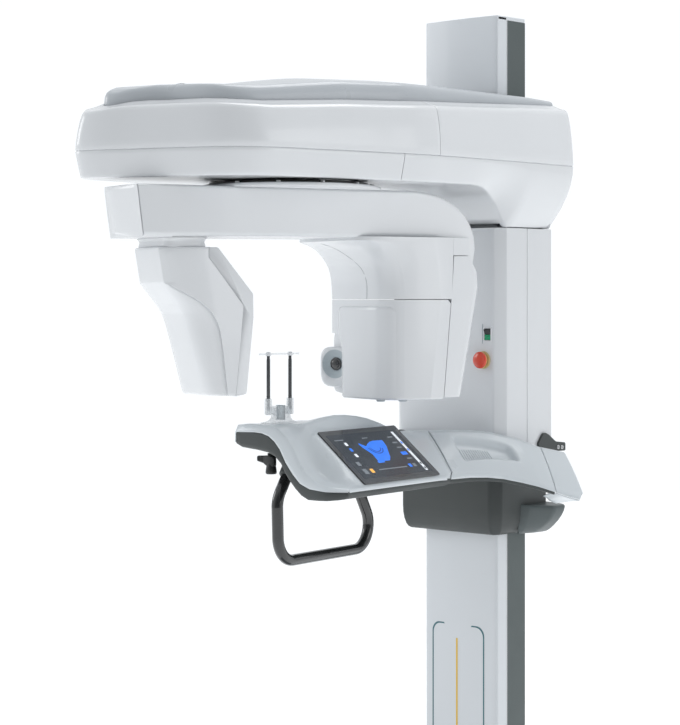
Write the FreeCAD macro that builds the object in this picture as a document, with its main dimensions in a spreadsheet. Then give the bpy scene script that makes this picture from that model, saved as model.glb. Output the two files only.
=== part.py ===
import FreeCAD, Part
import math
import os
import Sketcher
from FreeCAD import Placement, Rotation, Vector

# Panoramic x-ray machine in millimetres. The origin is on the floor under the middle of the fixed
# column, +Z is up, and the head, the rotating arm and the console reach forward along -Y.

DIMENSIONS = {
    "wall": 3,
    "running_gap": 0.3,
    "base_width": 800,
    "base_front": 930,
    "base_rear": 170,
    "base_thickness": 12,
    "base_corner_radius": 60,
    "foot_width": 310,
    "foot_thickness": 20,
    "anchor_spacing_x": 700,
    "anchor_spacing_y": 980,
    "anchor_hole_radius": 6.5,
    "column_width": 228,
    "column_front": 49,
    "column_split": 6,
    "column_rear": 63,
    "column_wall": 8,
    "column_lip": 24,
    "column_height": 2390,
    "cap_thickness": 10,
    "rail_offset": 60,
    "rail_width": 20,
    "rail_depth": 15,
    "rail_bottom": 720,
    "rail_top": 2300,
    "screw_radius": 10,
    "screw_y": 36,
    "screw_bottom": 702,
    "screw_top": 2292,
    "motor_radius": 27,
    "motor_length": 140,
    "cabinet_width": 252,
    "cabinet_rear": 150,
    "cabinet_top": 640,
    "bracket_rear": 110,
    "bracket_height": 60,
    "bracket_width": 148,
    "bracket_plate": 6,
    "bracket_hole_radius": 5.5,
    "bracket_hole_spacing_x": 120,
    "bracket_hole_spacing_z": 36,
    "bracket_low": 860,
    "bracket_high": 2340,
    "carriage_width": 342,
    "carriage_front": 102,
    "carriage_rear": 97,
    "carriage_bottom": 1340,
    "carriage_top": 1878,
    "frame_rear": 80,
    "frame_front": 70.5,
    "frame_width": 320,
    "frame_top": 2100,
    "notch_width": 244,
    "notch_front": 58,
    "housing_bottom": 1143,
    "seam_height": 2027,
    "head_floor": 1967,
    "beam_inner": 125,
    "beam_width": 25,
    "beam_bottom": 2040,
    "beam_front": 770,
    "slew_reach": 640,
    "slew_radius": 69.7,
    "slew_bore": 50,
    "slew_bottom": 1958,
    "slew_top": 1997,
    "stage_top": 2029.5,
    "stage_joint": 2013.7,
    "stage_bottom": 2000,
    "pinion_radius": 12,
    "arm_angle": -107,
    "arm_top": 1950,
    "arm_bottom": 1840,
    "arm_width": 220,
    "detector_width": 200,
    "tubehead_width": 260,
    "console_angle": 9.5,
    "console_origin_y": -700,
    "tablet_length": 314,
    "tablet_middle": 165.5,
    "handle_radius": 13,
    "handle_bend": 55,
    "handle_bottom": 1132,
    "chin_y": -665,
    "rod_radius": 4,
    "rod_spacing": 68,
    "rod_y": -670,
    "estop_x": 119,
    "estop_z": 1562,
    "estop_radius": 20,
    "rocker_x": 133,
    "rocker_z": 1623,
    "rocker_tilt": 8,
    "lever_x": 20,
    "lever_y": -715,
}

doc = FreeCAD.newDocument("panoramic_xray_machine")
sizes = doc.addObject("Spreadsheet::Sheet", "sizes")
for row, (alias, value) in enumerate(DIMENSIONS.items(), start=1):
    sizes.set(f"A{row}", alias)
    sizes.set(f"B{row}", str(value))
    sizes.setAlias(f"B{row}", alias)
doc.recompute()

nodes = []


def size(alias):
    """The number in a named cell of the sheet."""
    return float(sizes.get(alias))


def keep(feature):
    """Mark a finished sub-part, whose label is its name."""
    nodes.append(feature)
    return feature


# Sketches and bodies

def origin_plane(body, role):
    return next(plane for plane in body.Origin.OriginFeatures if plane.Role == role)


def draw(sketch, outlines):
    """Closed outlines: a list of points is a polygon, a tuple (x, y, radius) is a circle."""
    for outline in outlines:
        if isinstance(outline, tuple):
            x, y, radius = outline
            sketch.addGeometry(Part.Circle(Vector(x, y, 0), Vector(0, 0, 1), radius), False)
            continue
        first = sketch.GeometryCount
        count = len(outline)
        for index, start in enumerate(outline):
            end = outline[(index + 1) % count]
            sketch.addGeometry(Part.LineSegment(Vector(*start, 0), Vector(*end, 0)), False)
        for index in range(count):
            following = first + (index + 1) % count
            sketch.addConstraint(Sketcher.Constraint("Coincident", first + index, 2, following, 1))


def add_sketch(body, role, outlines, start=0):
    """A sketch on one of the body's own planes, moved along its normal by start."""
    sketch = body.newObject("Sketcher::SketchObject", "sketch")
    sketch.AttachmentSupport = [(origin_plane(body, role), "")]
    sketch.MapMode = "FlatFace"
    sketch.AttachmentOffset = Placement(Vector(0, 0, start), Rotation())
    draw(sketch, outlines)
    return sketch


def pad(label, role, outlines, length, start=0, centred=False):
    """A body padded from outlines; length is an expression over the sheet."""
    body = doc.addObject("PartDesign::Body", label)
    body.Label = label
    feature = body.newObject("PartDesign::Pad", "pad")
    feature.Profile = add_sketch(body, role, outlines, start)
    feature.setExpression("Length", length)
    feature.SideType = "Symmetric" if centred else "One side"
    doc.recompute()
    return body


def pocket(body, role, outlines, length, start=0, centred=False):
    """Cut outlines out of a body, along the plane's normal; it has to remove material."""
    before = body.Shape.Volume
    sketch = add_sketch(body, role, outlines, start)
    feature = body.newObject("PartDesign::Pocket", "pocket")
    feature.Profile = sketch
    feature.setExpression("Length", length)
    feature.SideType = "Symmetric" if centred else "One side"
    feature.Reversed = not centred
    doc.recompute()
    if body.Shape.Volume >= before:
        raise ValueError(f"{body.Label}: a pocket removes nothing")
    return body


def round_edges(body, radius, chosen):
    """Fillet the edges of the body that chosen(edge) accepts."""
    names = [f"Edge{number}" for number, edge in enumerate(body.Shape.Edges, start=1) if chosen(edge)]
    base = body.Tip
    feature = body.newObject("PartDesign::Fillet", "fillet")
    feature.Base = (base, names)
    feature.setExpression("Radius", radius)
    doc.recompute()
    return body


def upright(edge):
    """True for a straight edge along Z."""
    tangent = edge.tangentAt(edge.FirstParameter)
    return abs(abs(tangent.z) - 1) < 1e-6


# Primitives and booleans

def block(label, x, y, z):
    """A box from low to high along each axis; the six limits are expressions."""
    box = doc.addObject("Part::Box", label)
    box.Label = label
    for side, axis, (low, high) in (("Length", "x", x), ("Width", "y", y), ("Height", "z", z)):
        box.setExpression(side, f"({high}) - ({low})")
        box.setExpression(f"Placement.Base.{axis}", low)
    return box


def cylinder(label, radius, height, base, axis=Vector(0, 0, 1)):
    """A cylinder from base along axis; radius, height and base are expressions."""
    tube = doc.addObject("Part::Cylinder", label)
    tube.Label = label
    tube.Placement = Placement(Vector(), Rotation(Vector(0, 0, 1), axis))
    tube.setExpression("Radius", radius)
    tube.setExpression("Height", height)
    for name, place in zip("xyz", base):
        tube.setExpression(f"Placement.Base.{name}", place)
    return tube


def join(label, *pieces):
    """One feature made of several: touching pieces fuse, others stay separate solids."""
    union = doc.addObject("Part::MultiFuse", label)
    union.Label = label
    union.Shapes = list(pieces)
    return union


def cut(label, base, *tools):
    """Take one or more tools away from a base."""
    difference = doc.addObject("Part::Cut", label)
    difference.Label = label
    difference.Base = base
    difference.Tool = tools[0] if len(tools) == 1 else join(f"{label}_tools", *tools)
    return difference


def overlap(label, base, tool):
    """What two shapes have in common."""
    common = doc.addObject("Part::Common", label)
    common.Label = label
    common.Base = base
    common.Tool = tool
    return common


def mirrored_x(points):
    """Outline points followed by their mirror images across the YZ plane."""
    return points + [(-x, y) for x, y in reversed(points)]


# Fixed column

def base_plate():
    half_width = size("base_width") / 2
    front = -size("base_front")
    rear = size("base_rear")
    plate = pad("base_plate", "XY_Plane",
                [[(-half_width, front), (half_width, front), (half_width, rear), (-half_width, rear)]],
                "sizes.base_thickness")
    round_edges(plate, "sizes.base_corner_radius", upright)
    middle = (front + rear) / 2 - 10
    holes = [(side * size("anchor_spacing_x") / 2, middle + end * size("anchor_spacing_y") / 2,
              size("anchor_hole_radius")) for side in (-1, 1) for end in (-1, 1)]
    pocket(plate, "XY_Plane", holes, "sizes.base_thickness")
    foot = plate.newObject("PartDesign::Pad", "foot")
    half_foot = size("foot_width") / 2
    foot.Profile = add_sketch(plate, "XY_Plane", [[(-half_foot, -90), (half_foot, -90),
                              (half_foot, 160), (-half_foot, 160)]], size("base_thickness"))
    foot.setExpression("Length", "sizes.foot_thickness")
    keep(plate)


def column():
    half = size("column_width") / 2
    split = -size("column_split")
    rear = size("column_rear")
    wall = size("column_wall")
    lip = size("column_lip")
    front = -size("column_front")
    bottom = size("base_thickness") + size("foot_thickness")
    height = "sizes.column_height - sizes.cap_thickness - sizes.base_thickness - sizes.foot_thickness"
    channel = [(half, split), (half, rear), (half - lip, rear), (half - lip, rear - 5),
               (half - wall, rear - 5), (half - wall, split + wall)]
    keep(pad("column_profile", "XY_Plane", [mirrored_x(channel)], height, bottom))

    skin = size("wall")
    nose = [(half, split), (half, front + 11), (half - 10, front + 2.5), (0, front)]
    lining = [(0, front + skin), (half - 11, front + skin + 2.4), (half - skin, front + 12),
              (half - skin, split)]
    outside = nose + [(-x, y) for x, y in reversed(nose[:-1])]
    inside = [(-x, y) for x, y in reversed(lining[1:])] + lining
    keep(pad("column_front_cover", "XY_Plane", [outside + inside], height, bottom))

    cap = nose[1:] + [(-x, y) for x, y in reversed(nose[1:-1])] + [(-half, rear), (half, rear)]
    top = size("column_height") - size("cap_thickness")
    keep(pad("column_top_cap", "XY_Plane", [cap], "sizes.cap_thickness", top))


def guide_rails():
    rails = [block(f"guide_rail_{name}",
                   (f"{side} * sizes.rail_offset - sizes.rail_width / 2",
                    f"{side} * sizes.rail_offset + sizes.rail_width / 2"),
                   ("sizes.column_wall - sizes.column_split",
                    "sizes.column_wall - sizes.column_split + sizes.rail_depth"),
                   ("sizes.rail_bottom", "sizes.rail_top"))
             for name, side in (("left", -1), ("right", 1))]
    keep(join("guide_rails", *rails))


def lift_drive():
    channel_floor = "sizes.column_wall - sizes.column_split"
    lower = block("lower_bearing_block",
                  ("-90", "90"), (channel_floor, "58"), ("sizes.screw_bottom - 2", "sizes.screw_bottom + 10"))
    upper = block("upper_bearing_block",
                  ("-30", "30"), (channel_floor, "58"), ("sizes.screw_top - 16", "sizes.screw_top + 4"))
    bore = cylinder("screw_bore", "sizes.screw_radius + sizes.running_gap",
                    "sizes.screw_top - sizes.screw_bottom + 1",
                    ("0", "sizes.screw_y", "sizes.screw_bottom - 0.5"))
    keep(cut("screw_bearings", join("bearing_blocks", lower, upper), bore))
    keep(cylinder("lift_screw", "sizes.screw_radius", "sizes.screw_top - sizes.screw_bottom",
                  ("0", "sizes.screw_y", "sizes.screw_bottom")))
    keep(cylinder("lift_motor", "sizes.motor_radius", "sizes.motor_length",
                  ("0", "sizes.screw_y", "sizes.screw_bottom - 2 - sizes.motor_length")))


def rear_cabinet():
    bottom = "sizes.base_thickness + sizes.foot_thickness"
    shell = block("cabinet_block", ("-sizes.cabinet_width / 2", "sizes.cabinet_width / 2"),
                  ("-3", "sizes.cabinet_rear"), (bottom, "sizes.cabinet_top"))
    room = block("cabinet_room", ("-sizes.cabinet_width / 2 + sizes.wall", "sizes.cabinet_width / 2 - sizes.wall"),
                 ("-4", "sizes.cabinet_rear - sizes.wall"), ("0", "sizes.cabinet_top - sizes.wall"))
    slot = block("cabinet_slot", ("-sizes.column_width / 2 - 0.5", "sizes.column_width / 2 + 0.5"),
                 ("-4", "sizes.column_rear + 0.5"), ("0", "sizes.cabinet_top + 1"))
    keep(cut("rear_cabinet", shell, room, slot))
    keep(block("power_supply", ("-90", "90"), ("sizes.column_rear + 12", "sizes.cabinet_rear - 12"), (bottom, "420")))
    socket = block("inlet_block", ("55", "109"), ("sizes.cabinet_rear", "sizes.cabinet_rear + 12"), ("70", "104"))
    recess = block("inlet_recess", ("66", "98"), ("sizes.cabinet_rear + 2", "sizes.cabinet_rear + 13"), ("76", "98"))
    keep(cut("mains_inlet", socket, recess))


def wall_brackets():
    """Two welded brackets: a plate on the column, a plate for the wall, and two webs between."""
    pieces = []
    holes = []
    for name in ("low", "high"):
        middle = f"sizes.bracket_{name}"
        height = (f"{middle} - sizes.bracket_height / 2", f"{middle} + sizes.bracket_height / 2")
        width = ("-sizes.bracket_width / 2", "sizes.bracket_width / 2")
        column_plate = ("sizes.column_rear", "sizes.column_rear + sizes.bracket_plate")
        wall_plate = ("sizes.bracket_rear - sizes.bracket_plate", "sizes.bracket_rear")
        pieces.append(block(f"column_plate_{name}", width, column_plate, height))
        pieces.append(block(f"wall_plate_{name}", width, wall_plate, height))
        for side in (-1, 1):
            web = (f"{side} * 36 - sizes.bracket_plate / 2", f"{side} * 36 + sizes.bracket_plate / 2")
            pieces.append(block(f"web_{name}", web, (column_plate[1], wall_plate[0]), height))
            for row in (-1, 1):
                holes.append(cylinder(
                    f"wall_hole_{name}", "sizes.bracket_hole_radius", "sizes.bracket_plate + 2",
                    (f"{side} * sizes.bracket_hole_spacing_x / 2",
                     "sizes.bracket_rear - sizes.bracket_plate - 1",
                     f"{middle} + {row} * sizes.bracket_hole_spacing_z / 2"),
                    Vector(0, 1, 0)))
    keep(cut("wall_brackets", join("bracket_plates", *pieces), *holes))


# Carriage, which runs up and down on the column

def carriage_frame():
    keep(block("carriage_frame", ("-sizes.frame_width / 2", "sizes.frame_width / 2"),
               ("sizes.frame_front", "sizes.frame_rear"), ("sizes.carriage_bottom + 10", "sizes.frame_top")))
    blocks = []
    grooves = []
    for side in (-1, 1):
        middle = f"{side} * sizes.rail_offset"
        for bottom in (1400, 1740):
            blocks.append(block("guide_block", (f"{middle} - 20", f"{middle} + 20"),
                                ("sizes.column_wall - sizes.column_split + 3", "sizes.frame_front"),
                                (f"{bottom}", f"{bottom + 90}")))
            grooves.append(block("guide_groove",
                                 (f"{middle} - sizes.rail_width / 2 - sizes.running_gap",
                                  f"{middle} + sizes.rail_width / 2 + sizes.running_gap"),
                                 ("0", "sizes.column_wall - sizes.column_split + sizes.rail_depth + 0.3"),
                                 (f"{bottom - 1}", f"{bottom + 91}")))
    keep(cut("guide_blocks", join("guide_block_set", *blocks), *grooves))
    nut = block("nut_block", ("-32", "32"), ("20", "sizes.frame_front"), ("1560", "1620"))
    bore = cylinder("nut_bore", "sizes.screw_radius + sizes.running_gap", "70", ("0", "sizes.screw_y", "1555"))
    keep(cut("lift_nut", nut, bore))


def head_frame():
    """Two long beams beside the column, four cross beams and the rails of the first slide."""
    height = ("sizes.beam_bottom", "sizes.frame_top")
    parts = []
    for side in (-1, 1):
        inner = f"{side} * (sizes.beam_inner + sizes.beam_width / 2)"
        parts.append(block("long_beam", (f"{inner} - sizes.beam_width / 2", f"{inner} + sizes.beam_width / 2"),
                           ("-sizes.beam_front", "sizes.frame_front"), height))
        parts.append(block("slide_rail", (f"{inner} - 7", f"{inner} + 7"), ("-sizes.beam_front + 10", "-510"),
                           ("sizes.stage_top + sizes.running_gap", "sizes.beam_bottom")))
    for rear in (-120, -310, -505, -745):
        parts.append(block("cross_beam", ("-sizes.beam_inner", "sizes.beam_inner"),
                           (f"{rear - 25}", f"{rear}"), height))
    keep(join("head_frame", *parts))


def column_covers():
    """White covers of the moving column: a front half and a cover on each side behind it."""
    half = size("carriage_width") / 2
    front = -size("carriage_front")
    rear = size("carriage_rear")
    wall = size("wall")
    bottom = size("carriage_bottom")
    height = "sizes.carriage_top - sizes.carriage_bottom"
    outside = mirrored_x([(half, 0), (half, front + 26), (half - 20, front + 2), (half - 26, front)])
    inside = [(-half + wall, 0), (-half + wall, front + 27), (-half + 21.5, front + 5), (-half + 27, front + wall)]
    inside += [(-x, y) for x, y in reversed(inside)]
    cover = pad("mobile_column_front_cover", "XY_Plane", [outside + inside], height, bottom)
    controls = [[(size("estop_x"), size("estop_z"), 12)],
                [[(size("rocker_x") + x, size("rocker_z") + z) for x, z in
                  ((-9.5, -14), (9.5, -14), (9.5, 14), (-9.5, 14))]]]
    for outline in controls:
        pocket(cover, "XZ_Plane", outline, "2 * sizes.carriage_front + 20", centred=True)
    keep(cover)

    for name, side in (("left", -1), ("right", 1)):
        outline = [(half, 0.5), (half, rear), (half - 46, rear), (half - 46, rear - wall),
                   (half - wall, rear - wall), (half - wall, 0.5)]
        keep(pad(f"side_cover_{name}", "XY_Plane", [[(side * x, y) for x, y in outline]], height, bottom))


def lower_housing():
    """Dark housing round the column below the console, bulged at its right rear corner."""
    outside = [(-158, -75), (-136, -103), (136, -103), (158, -75), (158, 14), (200, 50), (200, 85), (186, 97),
               (-158, 97)]
    inside = [(-155, -74), (-134.5, -100), (134.5, -100), (155, -74), (155, 15.5), (197, 51.5), (197, 84),
              (184.5, 94), (-155, 94)]
    notch = [(-122, -58), (122, -58), (122, 98), (-122, 98)]
    housing = pad("lower_housing", "XY_Plane", [outside], "sizes.carriage_bottom - sizes.housing_bottom - 0.5",
                  size("housing_bottom"))
    bottom = size("housing_bottom")
    pocket(housing, "XY_Plane", [inside], "200", bottom + size("wall"))
    pocket(housing, "XY_Plane", [notch], "300", bottom - 1)
    keep(housing)


# Head shells: lofts between inset copies of one plan outline, trimmed by a side profile

HEAD_OUTLINE = [(240, 90), (250, -200), (254, -400), (234, -530), (201, -711), (165, -870), (90, -948),
                (-99, -1027), (-232, -1062), (-285, -900), (-290, -700), (-275, -500), (-254, -300), (-245, 90)]


def inset_outline(inset, rear):
    """The head outline moved inward; its open ends stay on the rear line."""
    moved = []
    last = len(HEAD_OUTLINE) - 1
    for index, (x, y) in enumerate(HEAD_OUTLINE):
        before = HEAD_OUTLINE[max(index - 1, 0)]
        after = HEAD_OUTLINE[min(index + 1, last)]
        along = Vector(after[0] - before[0], after[1] - before[1], 0).normalize()
        point = Vector(x + inset * along.y, y - inset * along.x, 0)
        if index in (0, last):
            point.y = rear
        moved.append(point)
    return moved


def head_wire(inset, level, rear):
    points = [Vector(point.x, point.y, level) for point in inset_outline(inset, rear)]
    curve = Part.BSplineCurve()
    curve.interpolate(points)
    return Part.Wire([curve.toShape(), Part.makeLine(points[-1], points[0])])


def head_block(label, bottom, top, rear, profile):
    """A loft between (inset, level) pairs, trimmed to a side profile of (y, z) points."""
    solid = doc.addObject("Part::Feature", f"{label}_loft")
    solid.Shape = Part.makeLoft([head_wire(*bottom, rear), head_wire(*top, rear)], True, True)
    side = pad(f"{label}_profile", "YZ_Plane", [profile], "800", centred=True)
    return overlap(label, solid, side)


def column_notch(label):
    return block(label, ("-sizes.notch_width / 2", "sizes.notch_width / 2"),
                 ("-sizes.notch_front", "110"), ("1800", "2400"))


def head_lower_shells():
    seam = size("seam_height")
    floor = size("head_floor")
    foot = size("carriage_top")
    outer = head_block("lower_outer", (78.5, 1870), (0, seam), 90,
                       [(-1100, floor), (-285, floor), (-200, floor - 30), (-103, foot), (100, foot),
                        (100, seam), (-1100, seam)])
    inner = head_block("lower_inner", (81.5, 1870), (-2, seam + 10), 87,
                       [(-1100, floor + 3), (-284, floor + 3), (-199, floor - 27), (-100, foot + 3), (-100, foot - 6),
                        (100, foot - 6), (100, seam + 9), (-1100, seam + 9)])
    opening = cylinder("slew_opening", "110", "80", ("0", "-sizes.slew_reach", "sizes.head_floor - 40"))
    shell = cut("lower_shell", outer, inner, opening, column_notch("lower_notch"))
    for name, y in (("front", ("-1100", "-518")), ("rear", ("-518", "100"))):
        keep(overlap(f"head_lower_{name}_shell", shell,
                     block(f"lower_{name}_side", ("-400", "400"), y, ("1800", "2100"))))


def head_upper_shells():
    seam = size("seam_height")
    outer = head_block("upper_outer", (0, seam), (50, 2170), 90,
                       [(-1100, seam), (-1100, 2098), (-900, 2118), (100, 2165), (100, seam)])
    inner = head_block("upper_inner", (-0.5, seam - 10), (53, 2170), 87,
                       [(-1100, seam - 9), (-1100, 2095), (-900, 2115), (100, 2162), (100, seam - 9)])
    shell = cut("upper_shell", outer, inner, column_notch("upper_notch"))
    for name, y in (("front", ("-1100", "-415")), ("rear", ("-415", "100"))):
        keep(overlap(f"head_upper_{name}_shell", shell,
                     block(f"upper_{name}_side", ("-400", "400"), y, ("2000", "2200"))))
    cover = head_block("cover_outer", (42, 2095), (70, 2206), 84,
                       [(-1100, 2098), (-900, 2118), (100, 2165), (100, 2198), (0, 2205), (-480, 2195),
                        (-711, 2178), (-900, 2158), (-1000, 2144), (-1100, 2120)])
    room = head_block("cover_inner", (44.5, 2095), (73, 2206), 81,
                      [(-1100, 2090), (-900, 2110), (100, 2157), (100, 2195), (0, 2202), (-480, 2192),
                       (-711, 2175), (-900, 2155), (-1000, 2141), (-1100, 2117)])
    keep(cut("head_top_cover", cover, room, column_notch("cover_notch")))


# Console, which is turned a little about Z: x across it and y along it in its own frame

CONSOLE_BOUNDARY = [(250, 1293), (200, 1292), (153, 1302), (114, 1337), (80, 1380), (40, 1407), (-47, 1410)]
MAIN_PLAN = [(-38, -745), (-18, -760), (238, -760), (256, -745), (246, -659), (180, -292), (-106, -340)]
TRAY_PLAN = [(180, -291.5), (204, -250), (221, -213), (241, -177), (267, -140), (292, -109), (317.7, -80.2),
             (236, -34), (176, 11.5), (172, 11.5), (172, -103.5), (-148, -103.5), (-106, -339.5)]
END_PLAN = [(318.2, -79.8), (355, -40), (357, -15), (273, 23), (176.5, 12), (236.3, -33.6)]
TRAY_ROOM = [(175, -300), (184, -165), (248, -122), (300, -68), (340, -34), (340, -20), (268, 14), (178, 6),
             (178, -109), (-142, -109), (-100, -345)]
UNDER_PLAN = [(-36, -743), (-16, -757), (236, -757), (253, -743), (243, -659), (178, -292), (188, -170),
              (196, -103.5), (-146, -103.5), (-104, -339)]


def on_console(feature):
    feature.Placement = Placement(Vector(), Rotation(Vector(0, 0, 1), size("console_angle")))
    feature.setExpression("Placement.Base.y", "sizes.console_origin_y")
    return feature


def console_run(label, section, middle, length):
    """A section of (across, height) points swept along the console."""
    return on_console(pad(label, "XZ_Plane", [section], length, start=-middle, centred=True))


def plan_prism(label, plan):
    return pad(label, "XY_Plane", [plan], "300", start=1200)


def above_plane(label, point, normal):
    """Everything above a slanted plane through the point."""
    tilt = Rotation(Vector(0, 0, 1), normal)
    slab = doc.addObject("Part::Box", label)
    slab.Length = 1600
    slab.Width = 1600
    slab.Height = 500
    slab.Placement = Placement(point - tilt.multVec(Vector(800, 800, 0)), tilt)
    return slab


def above_ramp(label, lift):
    """Above the ramp that falls to the operator's side, raised by lift."""
    return above_plane(label, Vector(180, -292, 1305 + lift), Vector(0.936, -0.395, 1))


def above_roof(label, lift):
    """Above the level top of the tray and above its fall beside the column, raised by lift."""
    level = above_plane(f"{label}_level", Vector(0, -103, 1392 + lift), Vector(0, 0, 1))
    fall = above_plane(f"{label}_fall", Vector(0, -103, 1392 + lift), Vector(0, 0.27, 1))
    return join(label, level, fall)


def console_shells():
    top = [(-47, 1430), (32, 1430), (100, 1441), (112, 1414), (241.5, 1301.5), (256, 1299)]
    room = [(-44, 1400), (-44, 1427), (31, 1427), (97.8, 1437.5), (109, 1411), (236, 1300.5), (200, 1288),
            (153, 1298), (114, 1333), (80, 1376), (40, 1403)]
    solid = overlap("main_solid", console_run("main_run", top + CONSOLE_BOUNDARY, 135, "490"),
                    plan_prism("main_plan", MAIN_PLAN))
    keep(cut("console_main_shell", solid, console_run("main_room", room, 161, "500")))

    tray_section = [(-180, 1450), (480, 1450), (480, 1228), (400, 1258), (330, 1281)]
    tray_section += CONSOLE_BOUNDARY[:-1] + [(-180, 1410)]
    run = console_run("tray_run", tray_section, 525, "460")
    rest = overlap("tray_solid", run, plan_prism("tray_plan", TRAY_PLAN))
    recess = plan_prism("tray_recess_plan", [(122, -231), (207, -104), (242, -101), (176, -248)])
    recess = overlap("tray_recess", recess, above_ramp("above_recess", -14))
    room_plan = pad("tray_room_plan", "XY_Plane", [TRAY_ROOM], "400", start=1100)
    room = cut("tray_room", room_plan, above_ramp("above_room", -20), above_roof("room_roof", -4))
    outside = join("above_tray", above_ramp("tray_ramp", 0), above_roof("tray_roof", 0))
    keep(cut("console_tray_shell", rest, outside, recess, room))
    end = overlap("end_solid", run, plan_prism("end_plan", END_PLAN))
    keep(cut("console_end_cap", end, outside, room))


def console_under_shell():
    lid = [(x, z - 0.3) for x, z in CONSOLE_BOUNDARY]
    keel = [(-47, 1368), (20, 1365), (62, 1340), (105, 1285), (140, 1263), (190, 1262), (236, 1276)]
    room = [(-44, 1420), (40, 1410), (80, 1383), (114, 1340), (153, 1305), (200, 1295), (236, 1294.5),
            (231, 1278.5), (189, 1265), (141, 1266), (107, 1287.5), (64, 1342.5), (21, 1368), (-44, 1371)]
    solid = overlap("under_solid", console_run("under_run", lid + keel, 260, "740"),
                    plan_prism("under_plan", UNDER_PLAN))
    holes = handle_tube("handle_holes", size("handle_radius") + 0.5)
    keep(cut("console_under_shell", solid, console_run("under_room", room, 270, "720"), holes))


def tablet():
    """The display stands 8 mm proud of the slope that carries it."""
    face = [(122.2, 1416), (247.2, 1308), (242, 1302), (117, 1410)]
    body = pad("tablet", "XZ_Plane", [face], "sizes.tablet_length", start=-size("tablet_middle"), centred=True)
    keep(on_console(body))


def handle_tube(label, radius):
    """A bent tube: two legs, each with a knee, and a bottom bar, with a round bend at every corner."""
    low = size("handle_bottom")
    route = [Vector(57, -684, 1350), Vector(66, -742.5, 1269), Vector(65, -737, low), Vector(5, -348, low),
             Vector(26, -481, 1352)]
    bend = size("handle_bend")
    edges = []
    begin = route[0]
    for before, corner, after in zip(route, route[1:], route[2:]):
        back = (before - corner).normalize()
        ahead = (after - corner).normalize()
        half_turn = back.getAngle(ahead) / 2
        reach = bend / math.tan(half_turn)
        inward = (back + ahead).normalize()
        middle = corner + inward * (bend / math.sin(half_turn) - bend)
        edges.append(Part.makeLine(begin, corner + back * reach))
        edges.append(Part.Arc(corner + back * reach, middle, corner + ahead * reach).toShape())
        begin = corner + ahead * reach
    edges.append(Part.makeLine(begin, route[-1]))
    ring = Part.Wire([Part.makeCircle(radius, route[0], route[1] - route[0])])
    tube = doc.addObject("Part::Feature", label)
    tube.Label = label
    tube.Shape = Part.Wire(edges).makePipeShell([ring], True, True)
    return tube


def patient_support():
    """Chin rest with two sleeves, and the lift-out head rest whose rods stand in them."""
    bottom = "1430.3"
    pieces = [block("chin_block", ("-20", "20"), ("sizes.chin_y - 25.5", "sizes.chin_y + 25.5"), (bottom, "1469")),
              block("chin_arm", ("-9", "9"), ("sizes.rod_y - 44", "sizes.rod_y + 44"), (bottom, "1455"))]
    bores = []
    rods = [block("forehead_bar", ("-3", "3"), ("sizes.rod_y - 62", "sizes.rod_y + 62"), ("1582", "1588"))]
    for side in (-1, 1):
        place = f"sizes.rod_y + {side} * sizes.rod_spacing / 2"
        pieces.append(cylinder("sleeve", "7", "30", ("0", place, "1455")))
        bores.append(cylinder("sleeve_bore", "sizes.rod_radius + sizes.running_gap", "40", ("0", place, "1460")))
        rods.append(cylinder("rod", "sizes.rod_radius", "120", ("0", place, "1462")))
        rods.append(cylinder("rod_cap", "5.5", "8", ("0", place, "1582")))
    keep(cut("chin_rest", join("chin_solid", *pieces), *bores))
    keep(join("head_rest", *rods))
    keep(join("lock_lever",
              cylinder("lever_hub", "8", "39.3", ("sizes.lever_x", "sizes.lever_y", "1322")),
              block("lever_grip", ("sizes.lever_x - 40", "sizes.lever_x + 8"),
                    ("sizes.lever_y - 6", "sizes.lever_y + 6"), ("1346", "1360"))))


def small_fittings():
    hook = [(36, 1352), (60, 1383), (74, 1378), (106, 1360), (142, 1355), (142, 1341), (36, 1341)]
    keep(pad("bracket_arm", "YZ_Plane", [hook], "6", start=171.3))
    face = "-sizes.carriage_front"
    collar = join("collar_solid",
                  cylinder("collar_flange", "sizes.estop_radius + 1", "5",
                           ("sizes.estop_x", f"{face} - 5", "sizes.estop_z"), Vector(0, 1, 0)),
                  cylinder("collar_barrel", "11.7", "25",
                           ("sizes.estop_x", f"{face} - 5", "sizes.estop_z"), Vector(0, 1, 0)))
    bore = cylinder("collar_bore", "8.3", "40", ("sizes.estop_x", f"{face} - 10", "sizes.estop_z"), Vector(0, 1, 0))
    keep(cut("estop_collar", collar, bore))
    keep(join("estop_button",
              cylinder("mushroom", "sizes.estop_radius", "12",
                       ("sizes.estop_x", f"{face} - 21", "sizes.estop_z"), Vector(0, 1, 0)),
              cylinder("stem", "8", "28", ("sizes.estop_x", f"{face} - 12", "sizes.estop_z"), Vector(0, 1, 0))))

    x = "sizes.rocker_x"
    z = "sizes.rocker_z"
    frame = block("rocker_block", (f"{x} - 11.5", f"{x} + 11.5"), (f"{face} - 3", face), (f"{z} - 17", f"{z} + 17"))
    window = block("rocker_window", (f"{x} - 9.5", f"{x} + 9.5"), (f"{face} - 4", f"{face} + 1"),
                   (f"{z} - 14", f"{z} + 14"))
    keep(cut("rocker_frame", frame, window))
    face_points = [(9, -9), (-4.5, -12), (-2, 0), (-4.5, 12), (9, 9)]
    switch = pad("rocker_key", "YZ_Plane", [face_points], "18", centred=True)
    switch.Placement = Placement(Vector(), Rotation(Vector(1, 0, 0), size("rocker_tilt")))
    switch.setExpression("Placement.Base.x", x)
    switch.setExpression("Placement.Base.y", face)
    switch.setExpression("Placement.Base.z", z)
    pin = cylinder("rocker_pin", "1.5", "18.6", (f"{x} - 9.3", face, z), Vector(1, 0, 0))
    keep(join("rocker", switch, pin))


# Slides and drive that carry the rotating arm

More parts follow.
